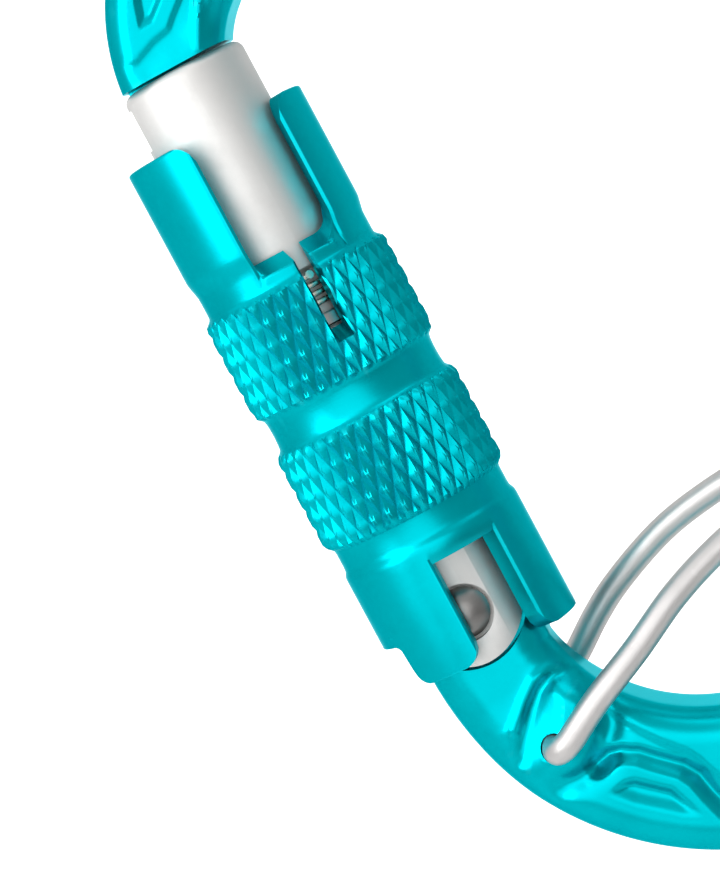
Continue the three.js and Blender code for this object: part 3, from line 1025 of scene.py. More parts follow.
        y = thick * (half - edge) + sine * edge
        facing = np.broadcast_to(sine ** 2, y.shape)
        height = self.relief.height(x, z) + self._plain_hollows(stops, share, total)
        y = y + np.sign(y) * height * facing
        x, y, z = self._bored(x, y, z)
        rings, around = y.shape
        points = DATUM.drawing(x, y, z).reshape(-1, 3)
        quads = np.concatenate([grid_quads(rings, around), self._end(0, around, False),
                                self._end((rings - 1) * around, around, True)])
        return Shell(points, quads).outward()

    @staticmethod
    def _at(stops: Array, travelled: Array, outline: Array) -> Array:
        """Points of an outline at given distances along the bow."""
        return np.stack([np.interp(stops, travelled, outline[:, k]) for k in (0, 1)], -1)

    @staticmethod
    def _end(first: int, around: int, turn: bool) -> Array:
        """Faces that close an end: each joins a near edge to the far edge at the same width.

        Args:
            first: number of the ring's first point.
            around: points round the ring.
            turn: whether the faces keep their order.
        Returns:
            Faces as rows of four point numbers.
        """
        near = np.arange(1, around // 2 - 1)
        quads = np.stack([near, near + 1, around - near - 1, around - near], -1)
        tips = np.array([[0, 1, around - 1, 0], [around // 2, around // 2 + 1, around // 2 - 1, around // 2]])
        faces = np.concatenate([quads, tips]) + first
        return faces if turn else faces[:, ::-1]

    @staticmethod
    def _plain_hollows(stops: Array, share: Array, total: float) -> Array:
        """Shallow long hollows in the faces of the spine's ends and the crown, over distance and width.

        Args:
            stops: distances along the bow.
            share: place across the width, from -1 to 1.
            total: the bow's length.
        Returns:
            Height above the plain section, nought or less.
        """
        run = stops[:, None]
        across = 1 - smooth(np.abs(share), 0.34, 0.5)
        lower = smooth(run, 56, 59) * (1 - smooth(run, 70, 74))
        crown = smooth(run, total - 62, total - 58) * (1 - smooth(run, total - 24, total - 19))
        return -0.35 * across * (lower + crown)

    def _bored(self, x: Array, y: Array, z: Array) -> tuple[Array, Array, Array]:
        """Sinks the keeper's two holes. Points close to a rim move onto its circle, so the rim is crisp.

        Args:
            x: drawing x of the surface.
            y: its y.
            z: its z.
        Returns:
            The moved x, y and z.
        """
        for side in (-1.0, 1.0):
            centre = self.bore_z + self.bore_slope * side * self.boss_face
            out = np.hypot(x - self.bore_x, z - centre)
            facing = y * side > self.bore_floor
            rim = facing & (np.abs(out - self.bore) < 0.14)
            scale = np.where(rim, self.bore / np.maximum(out, 1e-6), 1.0)
            x = self.bore_x + (x - self.bore_x) * scale
            z = centre + (z - centre) * scale
            sunk = facing & (out <= self.bore - 0.14)
            z = np.where(sunk, z - self.bore_slope * side * (np.abs(y) - self.bore_floor), z)
            y = np.where(sunk, side * self.bore_floor, y)
        return x, y, z

    def _tang(self) -> Shell:
        """The eye between the gate's ears: a round end with a flat for the plunger, running into the neck.

        Returns:
            A closed shell.
        """
        radius, flat, foot = 4.3, 3.6, -6.0
        tip = math.asin(flat / radius)
        outline = np.concatenate([arc(0, 0, radius, 0, tip, 24),
                                  arc(0, 0, radius, math.pi - tip, math.pi, 24),
                                  [[-radius, foot], [radius, foot]]])
        return plate(outline, -2.0, 2.0, 0.15, lambda a, b, t: DATUM.gate(a, t, b))

    def _tongue(self) -> list[Shell]:
        """The keylock nose: a head and a thinner stem, reaching into the gate's pocket.

        Returns:
            The head and the stem.
        """
        inner, outer, foot, waist = 0.9, -4.4, 44.8, 46.3
        head = rectangle(-1.9, foot, 1.9, waist)
        stem = rectangle(-1.1, waist - 0.2, 1.1, self.nose_face + 1.0)
        return [plate(part, outer, inner, 0.12, lambda a, b, t: DATUM.gate(t, a, b)) for part in (head, stem)]


# ---------------------------------------------------------------- the gate


@dataclass
class GateBarrel:
    """The gate's round bar with its forked foot and the pocket for the nose, in millimetres."""

    radius: float = 5.2
    stem: float = 4.55
    lower: float = 4.9
    top: float = 47.8
    fillet: float = 0.8
    ear: float = 4.6
    ear_centre: float = 0.3
    slot_half: float = 2.3
    tang: float = 4.75
    seat: float = 2.35
    seat_floor: float = 3.9
    rivet_hole: float = 1.75
    plunger_bore: float = 1.85
    pin_hole: float = 1.2
    pin_height: float = 12.0

    def build(self) -> None:
        """Turns the bar, carves its slots and holes, rounds the edges and dresses it."""
        fillet = arc(self.radius - self.fillet, self.top - self.fillet, self.fillet, 0, math.pi / 2, 9)
        profile = np.concatenate([
            [[0.05, -5], [self.lower, -5], [self.lower, 23.9], [self.stem, 24.3], [self.stem, 29.1],
             [self.stem + 0.1, 29.35], [self.radius - 0.15, 29.5], [self.radius, 29.65]],
            fillet, [[2.0, self.top], [0.05, self.top]]])
        piece = make_object("gate_bar", turned(profile, 160, DATUM.gate))
        carve(piece, self._cutters())
        bevelled(piece, 0.13)
        fit(piece, "gate", "gate_barrel", SATIN_GATE)

    def _cutters(self) -> list[Shell]:
        """Shells to cut away: round the ears, the fork, rivet seats, bores and nose pocket.

        Returns:
            The shells, in the order they are cut.
        """
        def across(outline: Array, low: float, high: float) -> Shell:
            """A cutter through the gate from near to far."""
            return plate(outline, low, high, 0.0, lambda a, b, t: DATUM.gate(a, t, b))

        def sideways(outline: Array, low: float, high: float) -> Shell:
            """A cutter along the gate's width."""
            return plate(outline, low, high, 0.0, lambda a, b, t: DATUM.gate(t, a, b))

        full = 2 * math.pi
        foot = np.concatenate([arc(0, self.ear_centre, self.ear, math.pi, full, 60),
                               [[6.2, self.ear_centre], [6.2, -7.0], [-6.2, -7.0], [-6.2, self.ear_centre]]])
        hole = arc(0, 0, self.rivet_hole, 0, full, 49)[:-1]
        seat = arc(0, 0, self.seat, 0, full, 65)[:-1]
        tang = arc(0, 0, self.tang, 0, full, 81)[:-1]
        bore = turned(np.array([[self.plunger_bore, 3.0], [self.plunger_bore, 16.0]]), 48, DATUM.gate)
        pin = closed_rings(self._pin_hole())
        return [across(foot, -7, 7), across(tang, -self.slot_half, self.slot_half),
                across(rectangle(-7, -6, 7, 1.2), -self.slot_half, self.slot_half), across(hole, -7, 7),
                across(seat, -7, -self.seat_floor), across(seat, self.seat_floor, 7), bore, pin,
                sideways(rectangle(-2.2, 43.2, 2.2, 46.7), -7, 1.5),
                sideways(rectangle(-1.4, 46.0, 1.4, 50), -7, 1.5)]

    def _pin_hole(self) -> Array:
        """Two rings of the guide pin's hole, on the far side at its height.

        Returns:
            Rings by points by three, in metres.
        """
        angle = np.linspace(0, 2 * math.pi, 40, endpoint=False)
        across = self.pin_hole * np.cos(angle)
        along = self.pin_height + self.pin_hole * np.sin(angle)
        return np.stack([DATUM.gate(across, np.full(len(angle), deep), along) for deep in (2.6, 8.0)])


@dataclass
class HingeRivet:
    """The rivet through the ears and the tang, with a low domed head on each side, in millimetres."""

    shank: float = 1.6
    head: float = 2.05
    head_start: float = 4.1
    rim: float = 4.45
    dome: float = 5.4

    def build(self) -> None:
        """Turns the rivet round the hinge axis: the heads are arcs of a sphere."""
        ball = (self.head ** 2 + (self.dome - self.rim) ** 2) / (2 * (self.dome - self.rim))
        out = np.linspace(self.head, 0.04, 16)
        cap = np.stack([out, self.dome - ball + np.sqrt(ball ** 2 - out ** 2)], -1)
        half = np.concatenate([[[self.shank, 0.5], [self.shank, self.head_start],
                                [self.head, self.head_start]], cap])
        profile = np.concatenate([half[::-1] * [1, -1], half])
        shell = turned(profile, 96, lambda a, b, h: DATUM.drawing(a, h, b))
        fit(make_object("hinge_rivet_domed", shell), "gate", "hinge_rivet", RIVET_STEEL)


@dataclass
class SleeveSpring:
    """The coil under the sleeve, its upper end turned out against the shoulder, in millimetres."""

    radius: float = 5.0
    wire: float = 0.235
    pitch: float = 0.72
    low: float = 26.05
    end_bearing: float = 21.5
    turns: float = 3.9
    tail: float = 0.4

    def build(self) -> None:
        """Carries the wire along a helix and turns its upper end out and up."""
        steps = np.linspace(0, 1, 900)
        end = math.radians(self.end_bearing)
        bearing = end - 2 * math.pi * self.turns * (1 - steps)
        climb = self.low + self.pitch * self.turns * steps
        helix = DATUM.gate(self.radius * np.sin(bearing), -self.radius * np.cos(bearing), climb)
        up = np.linspace(0.02, 1, 10)
        lift = climb[-1] + 0.1 * up
        reach = self.radius + self.tail * up
        tail = DATUM.gate(reach * math.sin(end), -reach * math.cos(end), lift)
        path = np.concatenate([helix, tail])
        size = np.full(len(path), self.wire * MM)
        size[-10:] *= 1 + 0.45 * smooth(up, 0, 1)
        shell = swept(path, size, 12, DATUM.along + 0.35 * DATUM.across)
        piece = make_object("sleeve_spring_coil", shell, 60)
        fit(piece, "gate", "sleeve_spring", SPRING_STEEL)


@dataclass
class ThrustRing:
    """The plain ring that the coil rests on, in millimetres."""

    inner: float = 4.85
    outer: float = 5.45
    low: float = 24.7
    top: float = 25.8
    edge: float = 0.12

    def build(self) -> None:
        """Carries a rectangle with cut corners round the gate's axis."""
        i, o, b, t, e = self.inner, self.outer, self.low, self.top, self.edge
        profile = np.array([[i + e, b], [o - e, b], [o, b + e], [o, t - e], [o - e, t], [i + e, t],
                            [i, t - e], [i, b + e]])
        shell = turned_ring(profile, 128, DATUM.gate)
        piece = make_object("thrust_ring_turned", shell)
        fit(piece, "slide_ring", "sleeve_thrust_ring", INNER_STEEL)


# ---------------------------------------------------------------- the sleeve


@dataclass
class LockingSleeve:
    """The knurled sleeve on a grid of bearing and height. Bearings are in degrees from the near side."""

    step: float = 1.25
    knurl_pitch: float = 10.0
    knurl_height: float = 3.45
    tip_bearing: float = -17.5
    tip_height: float = 27.2
    knurl_depth: float = 0.40
    knurl: float = 8.0
    waist: float = 7.34
    skirt: float = 7.6
    prong: float = 7.62
    bore: float = 5.65
    lower_bore: float = 5.2
    skirt_bore: float = 5.75
    ledge: float = 24.4
    top: float = 42.4
    low: float = -4.0
    wide: tuple[float, float, float] = (-10.0, 50.0, 30.5)
    narrow: tuple[float, float, float] = (13.75, 23.75, 23.4)
    window: tuple[float, float, float] = (0.0, 45.0, 4.8)
    tabs: tuple[tuple[float, float, float], ...] = ((-47.5, 0.0, -3.6), (45.0, 100.0, -3.95))
    floor_corners: tuple[float, float] = (0.7, 2.1)
    prong_corners: tuple[float, float] = (1.7, 1.9)
    tab_corner: float = 1.5
    skirt_corner: float = 0.9
    pocket: tuple[float, float, float, float] = (167.0, 283.0, 9.2, 13.2)
    pocket_radius: float = 6.5
    lip: float = 0.26
    floor_slope: float = 1.05

    def build(self) -> None:
        """Works out the outer and inner walls on one grid, leaves out the slots and closes every lip."""
        bearing = np.arange(0, 360, self.step)[None, :] - 180.0
        base = self._rows()[:, None]
        height = self._heights(base, bearing)
        radius = self._outer(height, bearing)
        inner_bearing, inner_height = self._inner_place(base, bearing, height)
        inner_radius = self._inner(inner_height, inner_bearing)
        outer_points = self._round(radius, bearing + 0 * base, height)
        inner_points = self._round(inner_radius, inner_bearing, inner_height)
        kept = self._kept(base[:, 0], bearing[0])
        shell = self._closed(outer_points, inner_points, kept, radius, base + 0 * bearing)
        piece = make_object("sleeve_knurled", shell, 34.0)
        fit(piece, "sleeve", "locking_sleeve", TEAL_TURNED)

    @staticmethod
    def _round(radius: Array, bearing: Array, height: Array) -> Array:
        """Places radius, bearing and height on the gate's axis."""
        turn = np.radians(bearing)
        return DATUM.gate(radius * np.sin(turn), -radius * np.cos(turn), height)

    def _rows(self) -> Array:
        """Heights of the grid's rows: the knurled bands follow their lattice, the rest is spaced by need.

        Returns:
            Heights in millimetres, from the bottom up.
        """
        eighth = self.knurl_height / 8
        upper = self.tip_height - eighth * np.arange(15, -5, -1)
        lower = self.tip_height - eighth * np.arange(42, 22, -1)
        parts = [self.low + np.array([0, 0.08, 0.2, 0.34]), np.linspace(-3.3, 0.7, 11), [0.85, 1.0],
                 np.linspace(1.5, 4.2, 6),
                 [4.46, 4.6, 4.72, 4.8, 5.3, 6.0, 6.3, 6.5, 6.7, 6.85, 7.2, 7.8, 8.4, 8.7],
                 lower, [17.45, 17.6, 17.75, 18.2, 18.8, 19.4, 20.0, 20.3, 20.45], upper,
                 [29.15, 29.35, 29.5, 29.8, 30.16, 30.3, 30.42, 30.5],
                 [30.9, 31.3, 31.6, 31.9, 32.2, 32.5, 32.8, 33.2],
                 np.linspace(34, 41.2, 14), [41.6, 41.9, 42.06, 42.2, 42.32, 42.4]]
        return np.unique(np.round(np.concatenate([np.asarray(p, float) for p in parts]), 4))

    @staticmethod
    def _corner(distance: Array, radius: float) -> Array:
        """How far an edge gives way at a distance from its corner: a quarter circle of that radius."""
        gap = np.clip(radius - distance, 0, radius)
        return radius - np.sqrt(radius ** 2 - gap ** 2)

    def _arc_from(self, bearing: Array, edge: float) -> Array:
        """Distance round the sleeve from an edge's bearing, in millimetres."""
        away = (bearing - edge + 180.0) % 360.0 - 180.0
        return np.abs(away) * math.radians(1) * self.skirt

    def _heights(self, base: Array, bearing: Array) -> Array:
        """Moves rows onto the skirt's tabs, the prongs' round corners and the slot's curved floor.

        Args:
            base: heights of the rows.
            bearing: bearings of the columns.
        Returns:
            Height of every grid point.
        """
        left, right, floor = self.wide
        drop = np.maximum(self._corner(self._arc_from(bearing, left), self.prong_corners[0]),
                          self._corner(self._arc_from(bearing, right), self.prong_corners[1]))
        top_share = smooth(base, 37.0, self.top) ** 2
        height = base - drop * top_share
        bottom = np.zeros_like(bearing)
        for start, end, low in self.tabs:
            within = (bearing >= start) & (bearing <= end)
            round_in = np.maximum(self._corner(self._arc_from(bearing, start), self.tab_corner),
                                  self._corner(self._arc_from(bearing, end), self.tab_corner))
            bottom = np.where(within, low + round_in, bottom)
            near = np.minimum(self._arc_from(bearing, start), self._arc_from(bearing, end))
            bottom = np.where(~within & (bottom == 0), -self._corner(near, self.skirt_corner), bottom)
        opening = (bearing > self.window[0]) & (bearing < self.window[1])
        bottom = np.where(opening, self.low, bottom)
        stretch = (1.0 - bottom) / (1.0 - self.low)
        height = np.where(base < 1.0, 1.0 - (1.0 - base) * stretch, height)
        curve = np.maximum(self._corner(self._arc_from(bearing, left), self.floor_corners[0]),
                           self._corner(self._arc_from(bearing, right), self.floor_corners[1]))
        bump = np.clip(1 - np.abs(base - floor) / np.where(base < floor, 1.1, 6.0), 0, 1)
        return height + curve * bump

    def _outer(self, height: Array, bearing: Array) -> Array:
        """Outer radius: the turned profile, cut by the knurl's crossed grooves, with rounded lips.

        Args:
            height: height of every grid point.
            bearing: bearings of the columns.
        Returns:
            Outer radius of every grid point.
        """
        profile = np.array([[-9.0, self.skirt], [6.35, self.skirt], [6.85, self.waist],
                            [8.75, self.waist], [9.25, self.knurl], [17.1, self.knurl],
                            [17.7, self.waist], [19.1, self.waist - 0.07], [20.3, self.waist],
                            [20.85, self.knurl], [28.85, self.knurl], [29.4, self.waist],
                            [31.3, self.waist], [32.6, self.prong], [50.0, self.prong]])
        shifts = np.linspace(-0.16, 0.16, 5)
        radius = sum(np.interp(height + s, profile[:, 0], profile[:, 1]) for s in shifts) / len(shifts)
        around = (bearing - self.tip_bearing) / self.knurl_pitch
        along = (height - self.tip_height) / self.knurl_height
        first, second = around + along, around - along
        off = np.maximum(np.abs(first - np.round(first)), np.abs(second - np.round(second)))
        pyramid = np.minimum(1.0, (1 - 2 * off) / 0.75)
        cut = self.knurl - self.knurl_depth * (1 - pyramid)
        radius = np.where(self._in_band(height), np.minimum(radius, cut), radius)
        edge = np.clip(self.lip - self._to_lip(height, bearing), 0, self.lip)
        return radius - (self.lip - np.sqrt(self.lip ** 2 - edge ** 2))

    def _to_lip(self, height: Array, bearing: Array) -> Array:
        """Distance along the surface to the nearest free edge.

        Args:
            height: height of every grid point.
            bearing: bearings of the columns.
        Returns:
            Distance in millimetres, nought on an edge or in an opening.
        """
        nearest = np.minimum(self.top - height, 9.0) + 0 * bearing
        slots = [(*self.wide, 60.0), (*self.narrow, self.wide[2]),
                 (self.window[0], self.window[1], -20.0, self.window[2])]
        for left, right, low, high in slots:
            middle, half = (left + right) / 2, (right - left) / 2
            side = (np.abs(bearing - middle) - half) * math.radians(1) * self.skirt
            end = np.maximum(low - height, height - high)
            outside = np.hypot(np.clip(side, 0, None), np.clip(end, 0, None))
            nearest = np.minimum(nearest, np.where((side <= 0) & (end <= 0), 0.0, outside))
        return np.clip(nearest, 0, None)

    def _inner_place(self, base: Array, bearing: Array, height: Array) -> tuple[Array, Array]:
        """Bearings and heights of the inner wall: slot sides are parallel, slot floors slope up inwards.

        Args:
            base: heights of the rows.
            bearing: bearings of the columns.
            height: height of every outer point.
        Returns:
            Bearing and height of every inner point.
        """
        left, right, floor = self.narrow
        middle, half = (left + right) / 2, (right - left) / 2
        wide_middle, wide_half = (self.wide[0] + self.wide[1]) / 2, (self.wide[1] - self.wide[0]) / 2
        narrow_turn = self._parallel(bearing, middle, half, self.knurl, 12.0)
        wide_turn = self._parallel(bearing, wide_middle, wide_half, self.prong, 40.0)
        in_wide = smooth(base, self.wide[2] - 0.8, self.wide[2])
        in_narrow = smooth(base, floor - 1.5, floor) * (1 - in_wide)
        turned_to = bearing + narrow_turn * in_narrow + wide_turn * in_wide
        in_slot = np.abs(bearing - middle) <= half
        narrow_floor = 1.2 * in_slot * np.clip(1 - np.abs(base - floor) / 2.4, 0, 1)
        within = 1 - smooth(np.abs(bearing - wide_middle), wide_half, wide_half + 14)
        near_floor = np.clip(1 - np.abs(base - self.wide[2]) / np.where(base < self.wide[2], 1.9, 6.0), 0, 1)
        return turned_to, height + narrow_floor + self.floor_slope * within * near_floor

    def _parallel(self, bearing: Array, middle: float, half: float, radius: float, fade: float) -> Array:
        """How far an inner point turns so that a slot's sides stay parallel, fading out past the slot.

        Args:
            bearing: bearings of the columns.
            middle: bearing of the slot's middle.
            half: half its width in degrees.
            radius: outer radius where the slot is measured.
            fade: degrees past the slot over which the turn fades.
        Returns:
            The turn in degrees.
        """
        wider = math.degrees(math.asin(math.sin(math.radians(half)) * radius / self.bore))
        away = np.abs(bearing - middle)
        extra = np.interp(away, [0, half, half + fade], [0, wider - half, 0])
        return np.sign(bearing - middle) * extra

    def _inner(self, height: Array, bearing: Array) -> Array:
        """Inner radius: bore, ledge, narrower lower bore, skirt bore and the guide pin's pocket.

        Args:
            height: height of every inner point.
            bearing: bearing of every inner point.
        Returns:
            Inner radius of every point.
        """
        radius = np.interp(height, [5.5, 5.8, self.ledge - 0.05, self.ledge + 0.05],
                           [self.skirt_bore, self.lower_bore, self.lower_bore, self.bore])
        clock = bearing % 360.0
        left, right, low, high = self.pocket
        pocket = (clock > left) & (clock < right) & (height > low) & (height < high)
        return np.where(pocket, self.pocket_radius, radius)

    def _kept(self, rows: Array, bearings: Array) -> Array:
        """Which cells of the grid are metal, by the middle of each cell.

        Args:
            rows: heights of the rows.
            bearings: bearings of the columns.
        Returns:
            True where a cell is metal.
        """
        height = ((rows[1:] + rows[:-1]) / 2)[:, None]
        bearing = (bearings + self.step / 2)[None, :]
        cut = (bearing > self.wide[0]) & (bearing < self.wide[1]) & (height > self.wide[2])
        cut |= (bearing > self.narrow[0]) & (bearing < self.narrow[1]) & (height > self.narrow[2] - 0.1)
        cut |= (bearing > self.window[0]) & (bearing < self.window[1]) & (height < self.window[2])
        return ~cut

    def _closed(self, outer: Array, inner: Array, kept: Array, radii: Array, heights: Array) -> Shell:
        """Joins the walls: outer faces, inner faces turned round, and a wall under every free edge.

        A knurled cell is two triangles, split along the diagonal that lies lower, where a groove runs.

        Args:
            outer: outer points, rows by columns.
            inner: inner points on the same grid.
            kept: which cells are metal.
            radii: outer radius at each grid point.
            heights: height of each row and column's point.
        Returns:
            A closed shell without unused points.
        """
        rows, columns = outer.shape[:2]
        count = rows * columns
        quads = grid_quads(rows, columns).reshape(rows - 1, columns, 4)
        knurled = kept & self._in_band((heights[1:] + heights[:-1]) / 2)
        top = quads[kept & ~knurled]
        under = quads[kept][:, ::-1] + count
        padded = np.pad(kept, ((1, 1), (0, 0)))
        a, b, c, d = (quads[..., k] for k in range(4))
        gaps = [(a, b, ~padded[:-2]), (c, d, ~padded[2:]),
                (b, c, ~np.roll(kept, -1, 1)), (d, a, ~np.roll(kept, 1, 1))]
        walls = []
        for start, end, gap in gaps:
            free = kept & gap
            s, e = start[free], end[free]
            walls.append(np.stack([e, s, s + count, e + count], -1))
        faces = np.concatenate([top, under, *walls])
        points = np.concatenate([outer.reshape(-1, 3), inner.reshape(-1, 3)])
        cells = quads[knurled]
        level = radii.ravel()[cells]
        straight = (level[:, 0] + level[:, 2] <= level[:, 1] + level[:, 3])[:, None]
        first = np.where(straight, cells[:, [0, 1, 2]], cells[:, [0, 1, 3]])
        second = np.where(straight, cells[:, [0, 2, 3]], cells[:, [1, 2, 3]])
        triangles = np.concatenate([first, second])
        used = np.zeros(len(points), bool)
        used[faces.ravel()] = True
        used[triangles.ravel()] = True
        numbers = np.cumsum(used) - 1
        return Shell(points[used], numbers[faces], [], numbers[triangles]).outward()

    @staticmethod
    def _in_band(height: Array) -> Array:
        """Whether a height lies in one of the two knurled bands."""
        return ((height > 9.0) & (height < 17.75)) | ((height > 20.3) & (height < 29.2))


# ---------------------------------------------------------------- the keeper


@dataclass
class KeeperWire:
    """The bent wire keeper: two pins in the frame, two legs and a round tip, in millimetres."""

    radius: float = 1.1
    pivot_x: float = 7.3
    pivot_z: float = -8.9
    slope: float = 0.3
    leg: float = 6.95
    pin: float = 2.8
    bend: float = 1.35
    near_leg: tuple = ((8.5, -6.95, -9.4), (10.4, -6.85, -6.4), (13.4, -6.4, -2.4), (16.4, -5.7, 1.9),
                       (19.5, -4.9, 5.3), (24.0, -3.8, 9.2), (27.8, -2.9, 11.9), (30.4, -1.9, 13.6))
    tip: tuple = ((31.2, 0.0, 14.6),)
    far_leg: tuple = ((30.4, 1.9, 15.2), (27.8, 2.9, 14.1), (24.0, 3.8, 11.8), (18.8, 4.9, 8.3),
                      (15.2, 5.7, 5.2), (11.5, 6.5, 0.6), (9.9, 6.85, -2.1), (8.4, 6.95, -5.2))

    def build(self) -> None:
        """Carries the wire along its route and maps its surface for the drawn streaks."""
        route = np.array([*self.near_leg, *self.tip, *self.far_leg], float)
        knots = np.concatenate([self._end(-1.0, route[0]), route, self._end(1.0, route[-1])[::-1]])
        curve = self._through(knots)
        run = np.concatenate([[0], np.cumsum(np.linalg.norm(np.diff(curve, axis=0), axis=1))])
        count, sides = 620, 32
        stops = np.linspace(0, run[-1], count)
        path = np.stack([np.interp(stops, run, curve[:, k]) for k in range(3)], -1)
        from_end = np.minimum(stops, stops[::-1])
        size = self.radius * np.sqrt(1 - (1 - np.clip(from_end / 0.4, 0.12, 1)) ** 2)
        points = DATUM.drawing(path[:, 0], path[:, 1], path[:, 2])
        shell = swept(points, size * MM, sides, np.array([0.72, 0.0, -0.69]))
        piece = make_object("keeper_wire_bent", shell, 50)
        self._map(piece, count, sides)
        fit(piece, "keeper", "keeper_wire", KEEPER_STEEL)

    def _pivot(self, away: float) -> Array:
        """A point of the slanted hinge line."""
        return np.array([self.pivot_x, away, self.pivot_z + self.slope * away])

    def _end(self, side: float, start: Array) -> Array:
        """The pin's tip and a round bend into the leg: an arc in the plane of pin and leg.

        Args:
            side: -1 on the near side, 1 on the far one.
            start: the leg's first point.
        Returns:
            Points from the pin's tip to the end of the bend.
        """
        tip, corner = self._pivot(side * self.pin), self._pivot(side * self.leg)
        arrive = (corner - tip) / np.linalg.norm(corner - tip)
        leave = (start - corner) / np.linalg.norm(start - corner)
        turn = math.acos(float(np.clip(arrive @ leave, -1, 1)))
        begin = corner - arrive * self.bend * math.tan(turn / 2)
        inward = leave - arrive * (leave @ arrive)
        inward /= np.linalg.norm(inward)
        angle = np.linspace(0, turn, 6)[:, None]
        centre = begin + inward * self.bend
        bend = centre - inward * self.bend * np.cos(angle) + arrive * self.bend * np.sin(angle)
        return np.concatenate([tip[None], bend])

    @staticmethod
    def _through(knots: Array) -> Array:
        """A smooth curve through the knots, spaced by the root of their distances.

        Args:
            knots: points on the curve.
        Returns:
            Points along the curve, sixty to each gap.
        """
        ends = np.concatenate([2 * knots[:1] - knots[1:2], knots, 2 * knots[-1:] - knots[-2:-1]])
        gap = np.sqrt(np.linalg.norm(np.diff(ends, axis=0), axis=1))[:, None, None]
        p0, p1, p2, p3 = (ends[k:len(ends) - 3 + k][:, None] for k in range(4))
        g0, g1, g2 = gap[:-2], gap[1:-1], gap[2:]
        m1 = (p1 - p0) / g0 - (p2 - p0) / (g0 + g1) + (p2 - p1) / g1
        m2 = (p2 - p1) / g1 - (p3 - p1) / (g1 + g2) + (p3 - p2) / g2
        s = np.linspace(0, 1, 60, endpoint=False)[None, :, None]
        m1, m2 = m1 * g1, m2 * g1
        points = ((2 * s ** 3 - 3 * s ** 2 + 1) * p1 + (s ** 3 - 2 * s ** 2 + s) * m1
                  + (3 * s ** 2 - 2 * s ** 3) * p2 + (s ** 3 - s ** 2) * m2)
        return np.concatenate([points.reshape(-1, 3), knots[-1:]])

    @staticmethod
    def _map(piece: bpy.types.Object, count: int, sides: int) -> None:
        """Stores a map with the length along the wire and the turn round it.

        Args:
            piece: the wire's object.
            count: rings along the wire.
            sides: points in each ring.
        """
        mesh = piece.data
        layer = mesh.uv_layers.new(name=WIRE_MAP)
        corners = np.zeros(len(mesh.loops), np.int32)
        mesh.loops.foreach_get("vertex_index", corners)
        along = (corners // sides) / count * 10.0
        turn = np.abs((corners % sides) / sides - 0.5) * 2
        layer.data.foreach_set("uv", np.stack([along, turn], -1).astype(np.float32).ravel())


@dataclass
class InnerParts:
    """The small parts inside the gate, which keep their own shape and get a finish."""

    finishes: tuple = (("gate_plunger", INNER_STEEL), ("gate_return_spring", SPRING_STEEL),
                       ("sleeve_guide_pin", INNER_STEEL))

    def build(self) -> None:
        """Dresses each carried-over node."""
        for node, finish in self.finishes:
            dress(frame["nodes"][node], finish)
            LOG.info("%s: kept, finish %s", node, finish.name)


# ---------------------------------------------------------------- the studio


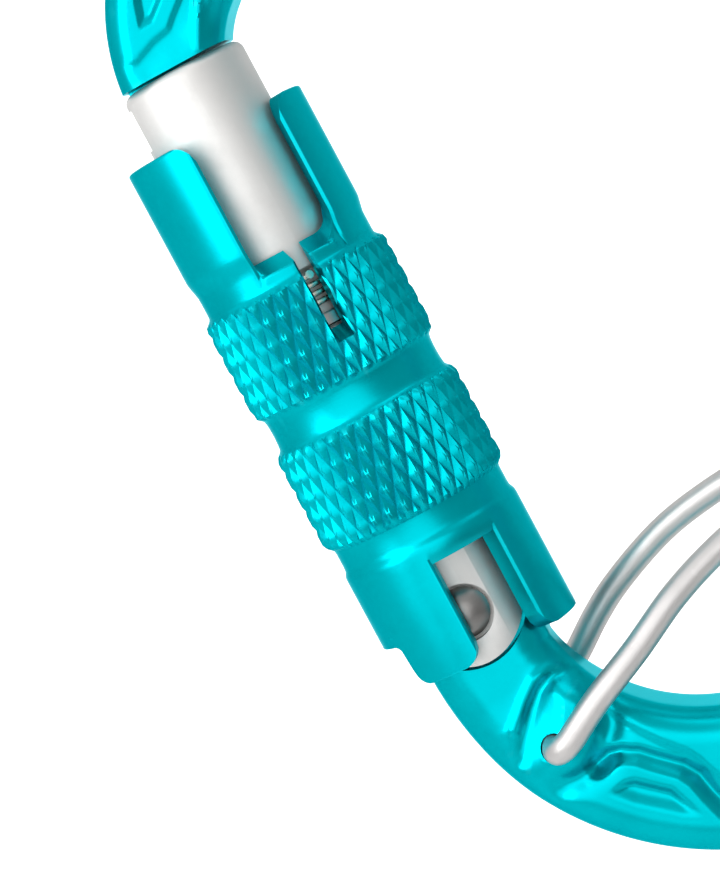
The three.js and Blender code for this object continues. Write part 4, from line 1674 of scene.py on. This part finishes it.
@dataclass
class Studio:
    """Pale sweep with a pool of light painted on its wall, soft lights and the camera. Places are drawing
    millimetres.
    """

    eye: tuple[float, float, float] = (18.0, -275.0, 47.3)
    aim: tuple[float, float, float] = (-8.6, 0.0, 12.8)
    lens: float = 143.5
    floor: float = -300.0
    wall: float = 600.0
    # Centre and fade radii of the pool of light painted on the wall's paper.
    painted_glow_centre: tuple[float, float, float] = (-67.0, 600.0, -63.0)
    painted_glow_radius: tuple[float, float] = (165.0, 330.0)

    def build(self) -> None:
        """Makes the sweep, the lights, the world and the camera."""
        self._sweep()
        self._light("key", (-270, -250, 20), (0, 0, 20), (170, 300), 3.3)
        self._light("front", (-30, -480, 40), (0, 0, 20), (420, 420), 1.05)
        self._light("top", (30, -60, 380), (0, 0, 20), (300, 220), 0.9)
        self._world()
        self._camera()

    @staticmethod
    def _point(place: Sequence[float]) -> Vector:
        """A drawing point in metres."""
        return Vector(DATUM.drawing(*(np.array(float(p)) for p in place)).tolist())

    def _light(self, name: str, place: tuple, aim: tuple, size: tuple, radiance: float) -> None:
        """Adds a rectangular soft light.

        Args:
            name: its name.
            place: where it stands.
            aim: what it faces.
            size: width and height.
            radiance: brightness of its face.
        """
        data = bpy.data.lights.new(name, "AREA")
        data.shape = "RECTANGLE"
        data.size, data.size_y = size[0] * MM, size[1] * MM
        data.energy = radiance * math.pi * data.size * data.size_y
        light = bpy.data.objects.new(name, data)
        light.location = self._point(place)
        light.rotation_euler = (self._point(aim) - light.location).to_track_quat("-Z", "Y").to_euler()
        bpy.context.scene.collection.objects.link(light)

    def _sweep(self) -> None:
        """A floor that curves up into a wall: straight, quarter circle, straight, carried sideways. Its paper
        glows round a point on the wall behind the piece, a painted pool of light.
        """
        radius, back = 120.0, self.wall
        angle = np.linspace(0, math.pi / 2, 24)
        away = np.concatenate([[-900.0], back - radius + radius * np.sin(angle), [back]])
        up = np.concatenate([[0.0], radius - radius * np.cos(angle), [1400.0]])
        side = np.array([-1500.0, 1500.0])
        points = DATUM.drawing(side[None, :], away[:, None], self.floor + up[:, None])
        mesh = bpy.data.meshes.new("sweep")
        mesh.from_pydata(points.reshape(-1, 3).tolist(), [], grid_quads(len(away), 2, False).tolist())
        mesh.shade_smooth()
        sweep = bpy.data.objects.new("sweep", mesh)
        bpy.context.scene.collection.objects.link(sweep)
        paper = bpy.data.materials.new("pale_paper")
        paper.use_nodes = True
        shader = Shader(paper.node_tree)
        body = paper.node_tree.nodes["Principled BSDF"]
        place = shader.node("ShaderNodeTexCoord").outputs["Object"]
        fibre = shader.noise(place, 60.0, 4.0, 0.6)
        tone = shader.mix(fibre, (0.93, 0.93, 0.93, 1.0), (0.96, 0.96, 0.96, 1.0))
        shader.feed(tone, body.inputs["Base Color"])
        body.inputs["Roughness"].default_value = 0.9
        # Painted light: the paper's emission is strongest round a point on the wall and fades out with
        # distance, a pool of light painted on the backdrop.
        centre = self._point(self.painted_glow_centre)
        away = shader.node("ShaderNodeVectorMath", operation="DISTANCE")
        shader.feed(place, away.inputs[0])
        away.inputs[1].default_value = centre
        near, far = (r * MM for r in self.painted_glow_radius)
        painted_glow = shader.spread(away.outputs["Value"], near, far, 1.0, 0.0)
        body.inputs["Emission Color"].default_value = (1.0, 1.0, 1.0, 1.0)
        shader.feed(shader.math("MULTIPLY", painted_glow, 0.8), body.inputs["Emission Strength"])
        mesh.materials.append(paper)

    @staticmethod
    def _world() -> None:
        """A white tent, brighter to the left and above than to the right and below."""
        world = bpy.data.worlds.new("tent")
        bpy.context.scene.world = world
        world.use_nodes = True
        shader = Shader(world.node_tree)
        direction = shader.node("ShaderNodeTexCoord").outputs["Generated"]
        parts = shader.node("ShaderNodeSeparateXYZ")
        shader.feed(direction, parts.inputs[0])
        sideways = shader.spread(parts.outputs[0], -0.8, 0.7, 1.1, 0.5)
        upright = shader.spread(parts.outputs[2], -0.7, 0.3, 0.24, 1.0)
        strength = shader.math("MULTIPLY", sideways, upright)
        back = world.node_tree.nodes["Background"]
        back.inputs["Color"].default_value = (1.0, 1.0, 1.0, 1.0)
        shader.feed(strength, back.inputs["Strength"])

    def _camera(self) -> None:
        """The camera, a long lens aimed at the middle of the gate."""
        data = bpy.data.cameras.new("camera")
        data.lens = self.lens
        data.sensor_width = 36.0
        data.sensor_fit = "AUTO"
        data.clip_start = 0.01
        data.clip_end = 10.0
        camera = bpy.data.objects.new("camera", data)
        camera.location = self._point(self.eye)
        camera.rotation_euler = (self._point(self.aim) - camera.location).to_track_quat("-Z", "Y").to_euler()
        bpy.context.scene.collection.objects.link(camera)
        bpy.context.scene.camera = camera
        bpy.context.scene.view_settings.view_transform = "Standard"


def main() -> None:
    """Builds each sub-assembly in order."""
    logging.basicConfig(level=logging.INFO, format="%(name)s: %(message)s")
    for part in (ForgedFrame(), GateBarrel(), HingeRivet(), SleeveSpring(), ThrustRing(), LockingSleeve(),
                 KeeperWire(), InnerParts(), Studio()):
        part.build()
        LOG.info("%s done", type(part).__name__)


if __name__ == "__main__":
    main()
